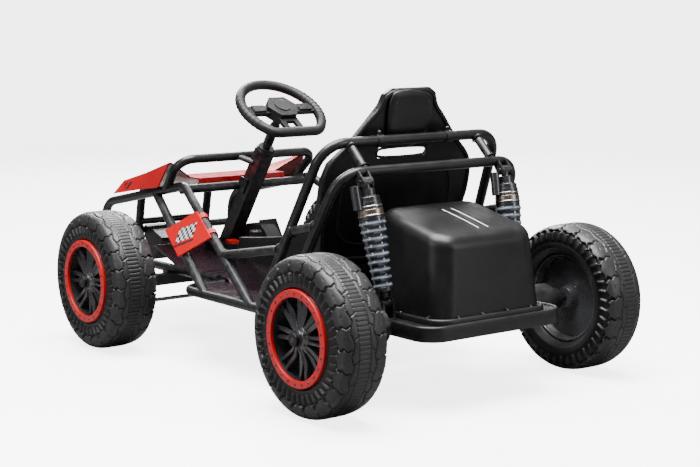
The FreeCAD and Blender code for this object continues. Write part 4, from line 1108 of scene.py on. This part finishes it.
def build_stage():
    paper = Paint("paper", (0.9, 0.9, 0.905), 0.2)
    pale = paper.mix(paper.noise(3.0), (0.9, 0.9, 0.905), (0.94, 0.94, 0.945))
    seen = camera_rays(paper.tree)
    paper.colour(paper.mix(seen, (PAPER_BOUNCE, PAPER_BOUNCE, PAPER_BOUNCE), pale))
    paper.shader.inputs["Emission Color"].default_value = (1, 1, 1, 1)
    paper.tree.links.new(paper.math("MULTIPLY", seen, PAPER_GLOW), paper.shader.inputs["Emission Strength"])
    mesh = backdrop_mesh()
    floor = add_object("floor", mesh)
    mesh.materials.append(paper.material)
    world = bpy.data.worlds.new("studio")
    bpy.context.scene.world = world
    world.use_nodes = True
    tree = world.node_tree
    fill = tree.nodes["Background"]
    fill.inputs["Color"].default_value = (0.94, 0.97, 1, 1)
    fill.inputs["Strength"].default_value = ROOM_LIGHT
    backdrop = tree.nodes.new("ShaderNodeBackground")
    backdrop.inputs["Strength"].default_value = BACKDROP_LIGHT
    mix = tree.nodes.new("ShaderNodeMixShader")
    tree.links.new(camera_rays(tree), mix.inputs[0])
    tree.links.new(fill.outputs[0], mix.inputs[1])
    tree.links.new(backdrop.outputs[0], mix.inputs[2])
    tree.links.new(mix.outputs[0], tree.nodes["World Output"].inputs["Surface"])


def area_light(name, location, target, size, power):
    data = bpy.data.lights.new(name, "AREA")
    data.shape = "RECTANGLE"
    data.size, data.size_y = size
    data.energy = power
    light = add_object(name, data)
    light.location = location
    light.rotation_euler = (Vector(target) - Vector(location)).to_track_quat("-Z", "Y").to_euler()


def build_lights():
    area_light("key", (0.3, 0.4, 3.6), (0, 0, 0.2), (3.2, 2.6), 760)
    area_light("back", (-1.6, -3.4, 2.8), (0, 0, 0.3), (3.0, 1.4), 330)
    area_light("side", (3.8, 0.2, 1.6), (0, 0, 0.3), (0.6, 1.6), 45)
    area_light("rear", (-1.6, 3.6, 1.5), (0, 0.3, 0.3), (0.5, 1.8), 40)


CAMERA_AZIMUTH = math.radians(142.661)
CAMERA_ELEVATION = math.radians(8.152)
CAMERA_ROLL = math.radians(-0.116)
CAMERA_PLACE = (2.1695, 2.9880, 0.8098)
CAMERA_LENS = 80.90


def build_camera():
    data = bpy.data.cameras.new("camera")
    data.sensor_width = 36.0
    data.lens = CAMERA_LENS
    camera = add_object("camera", data)
    back = Vector((math.sin(CAMERA_AZIMUTH) * math.cos(CAMERA_ELEVATION),
                   -math.cos(CAMERA_AZIMUTH) * math.cos(CAMERA_ELEVATION), math.sin(CAMERA_ELEVATION)))
    turn = back.to_track_quat("Z", "Y").to_matrix().to_4x4() @ Matrix.Rotation(CAMERA_ROLL, 4, "Z")
    camera.matrix_world = Matrix.Translation(CAMERA_PLACE) @ turn
    bpy.context.scene.camera = camera


build_camera()
build_stage()
build_lights()
paint_cad_nodes()
build_tyres()
build_rims()
build_shocks()
build_seat()
build_headrest_shell()
build_cushions()
build_steering()
build_details()
build_welds()
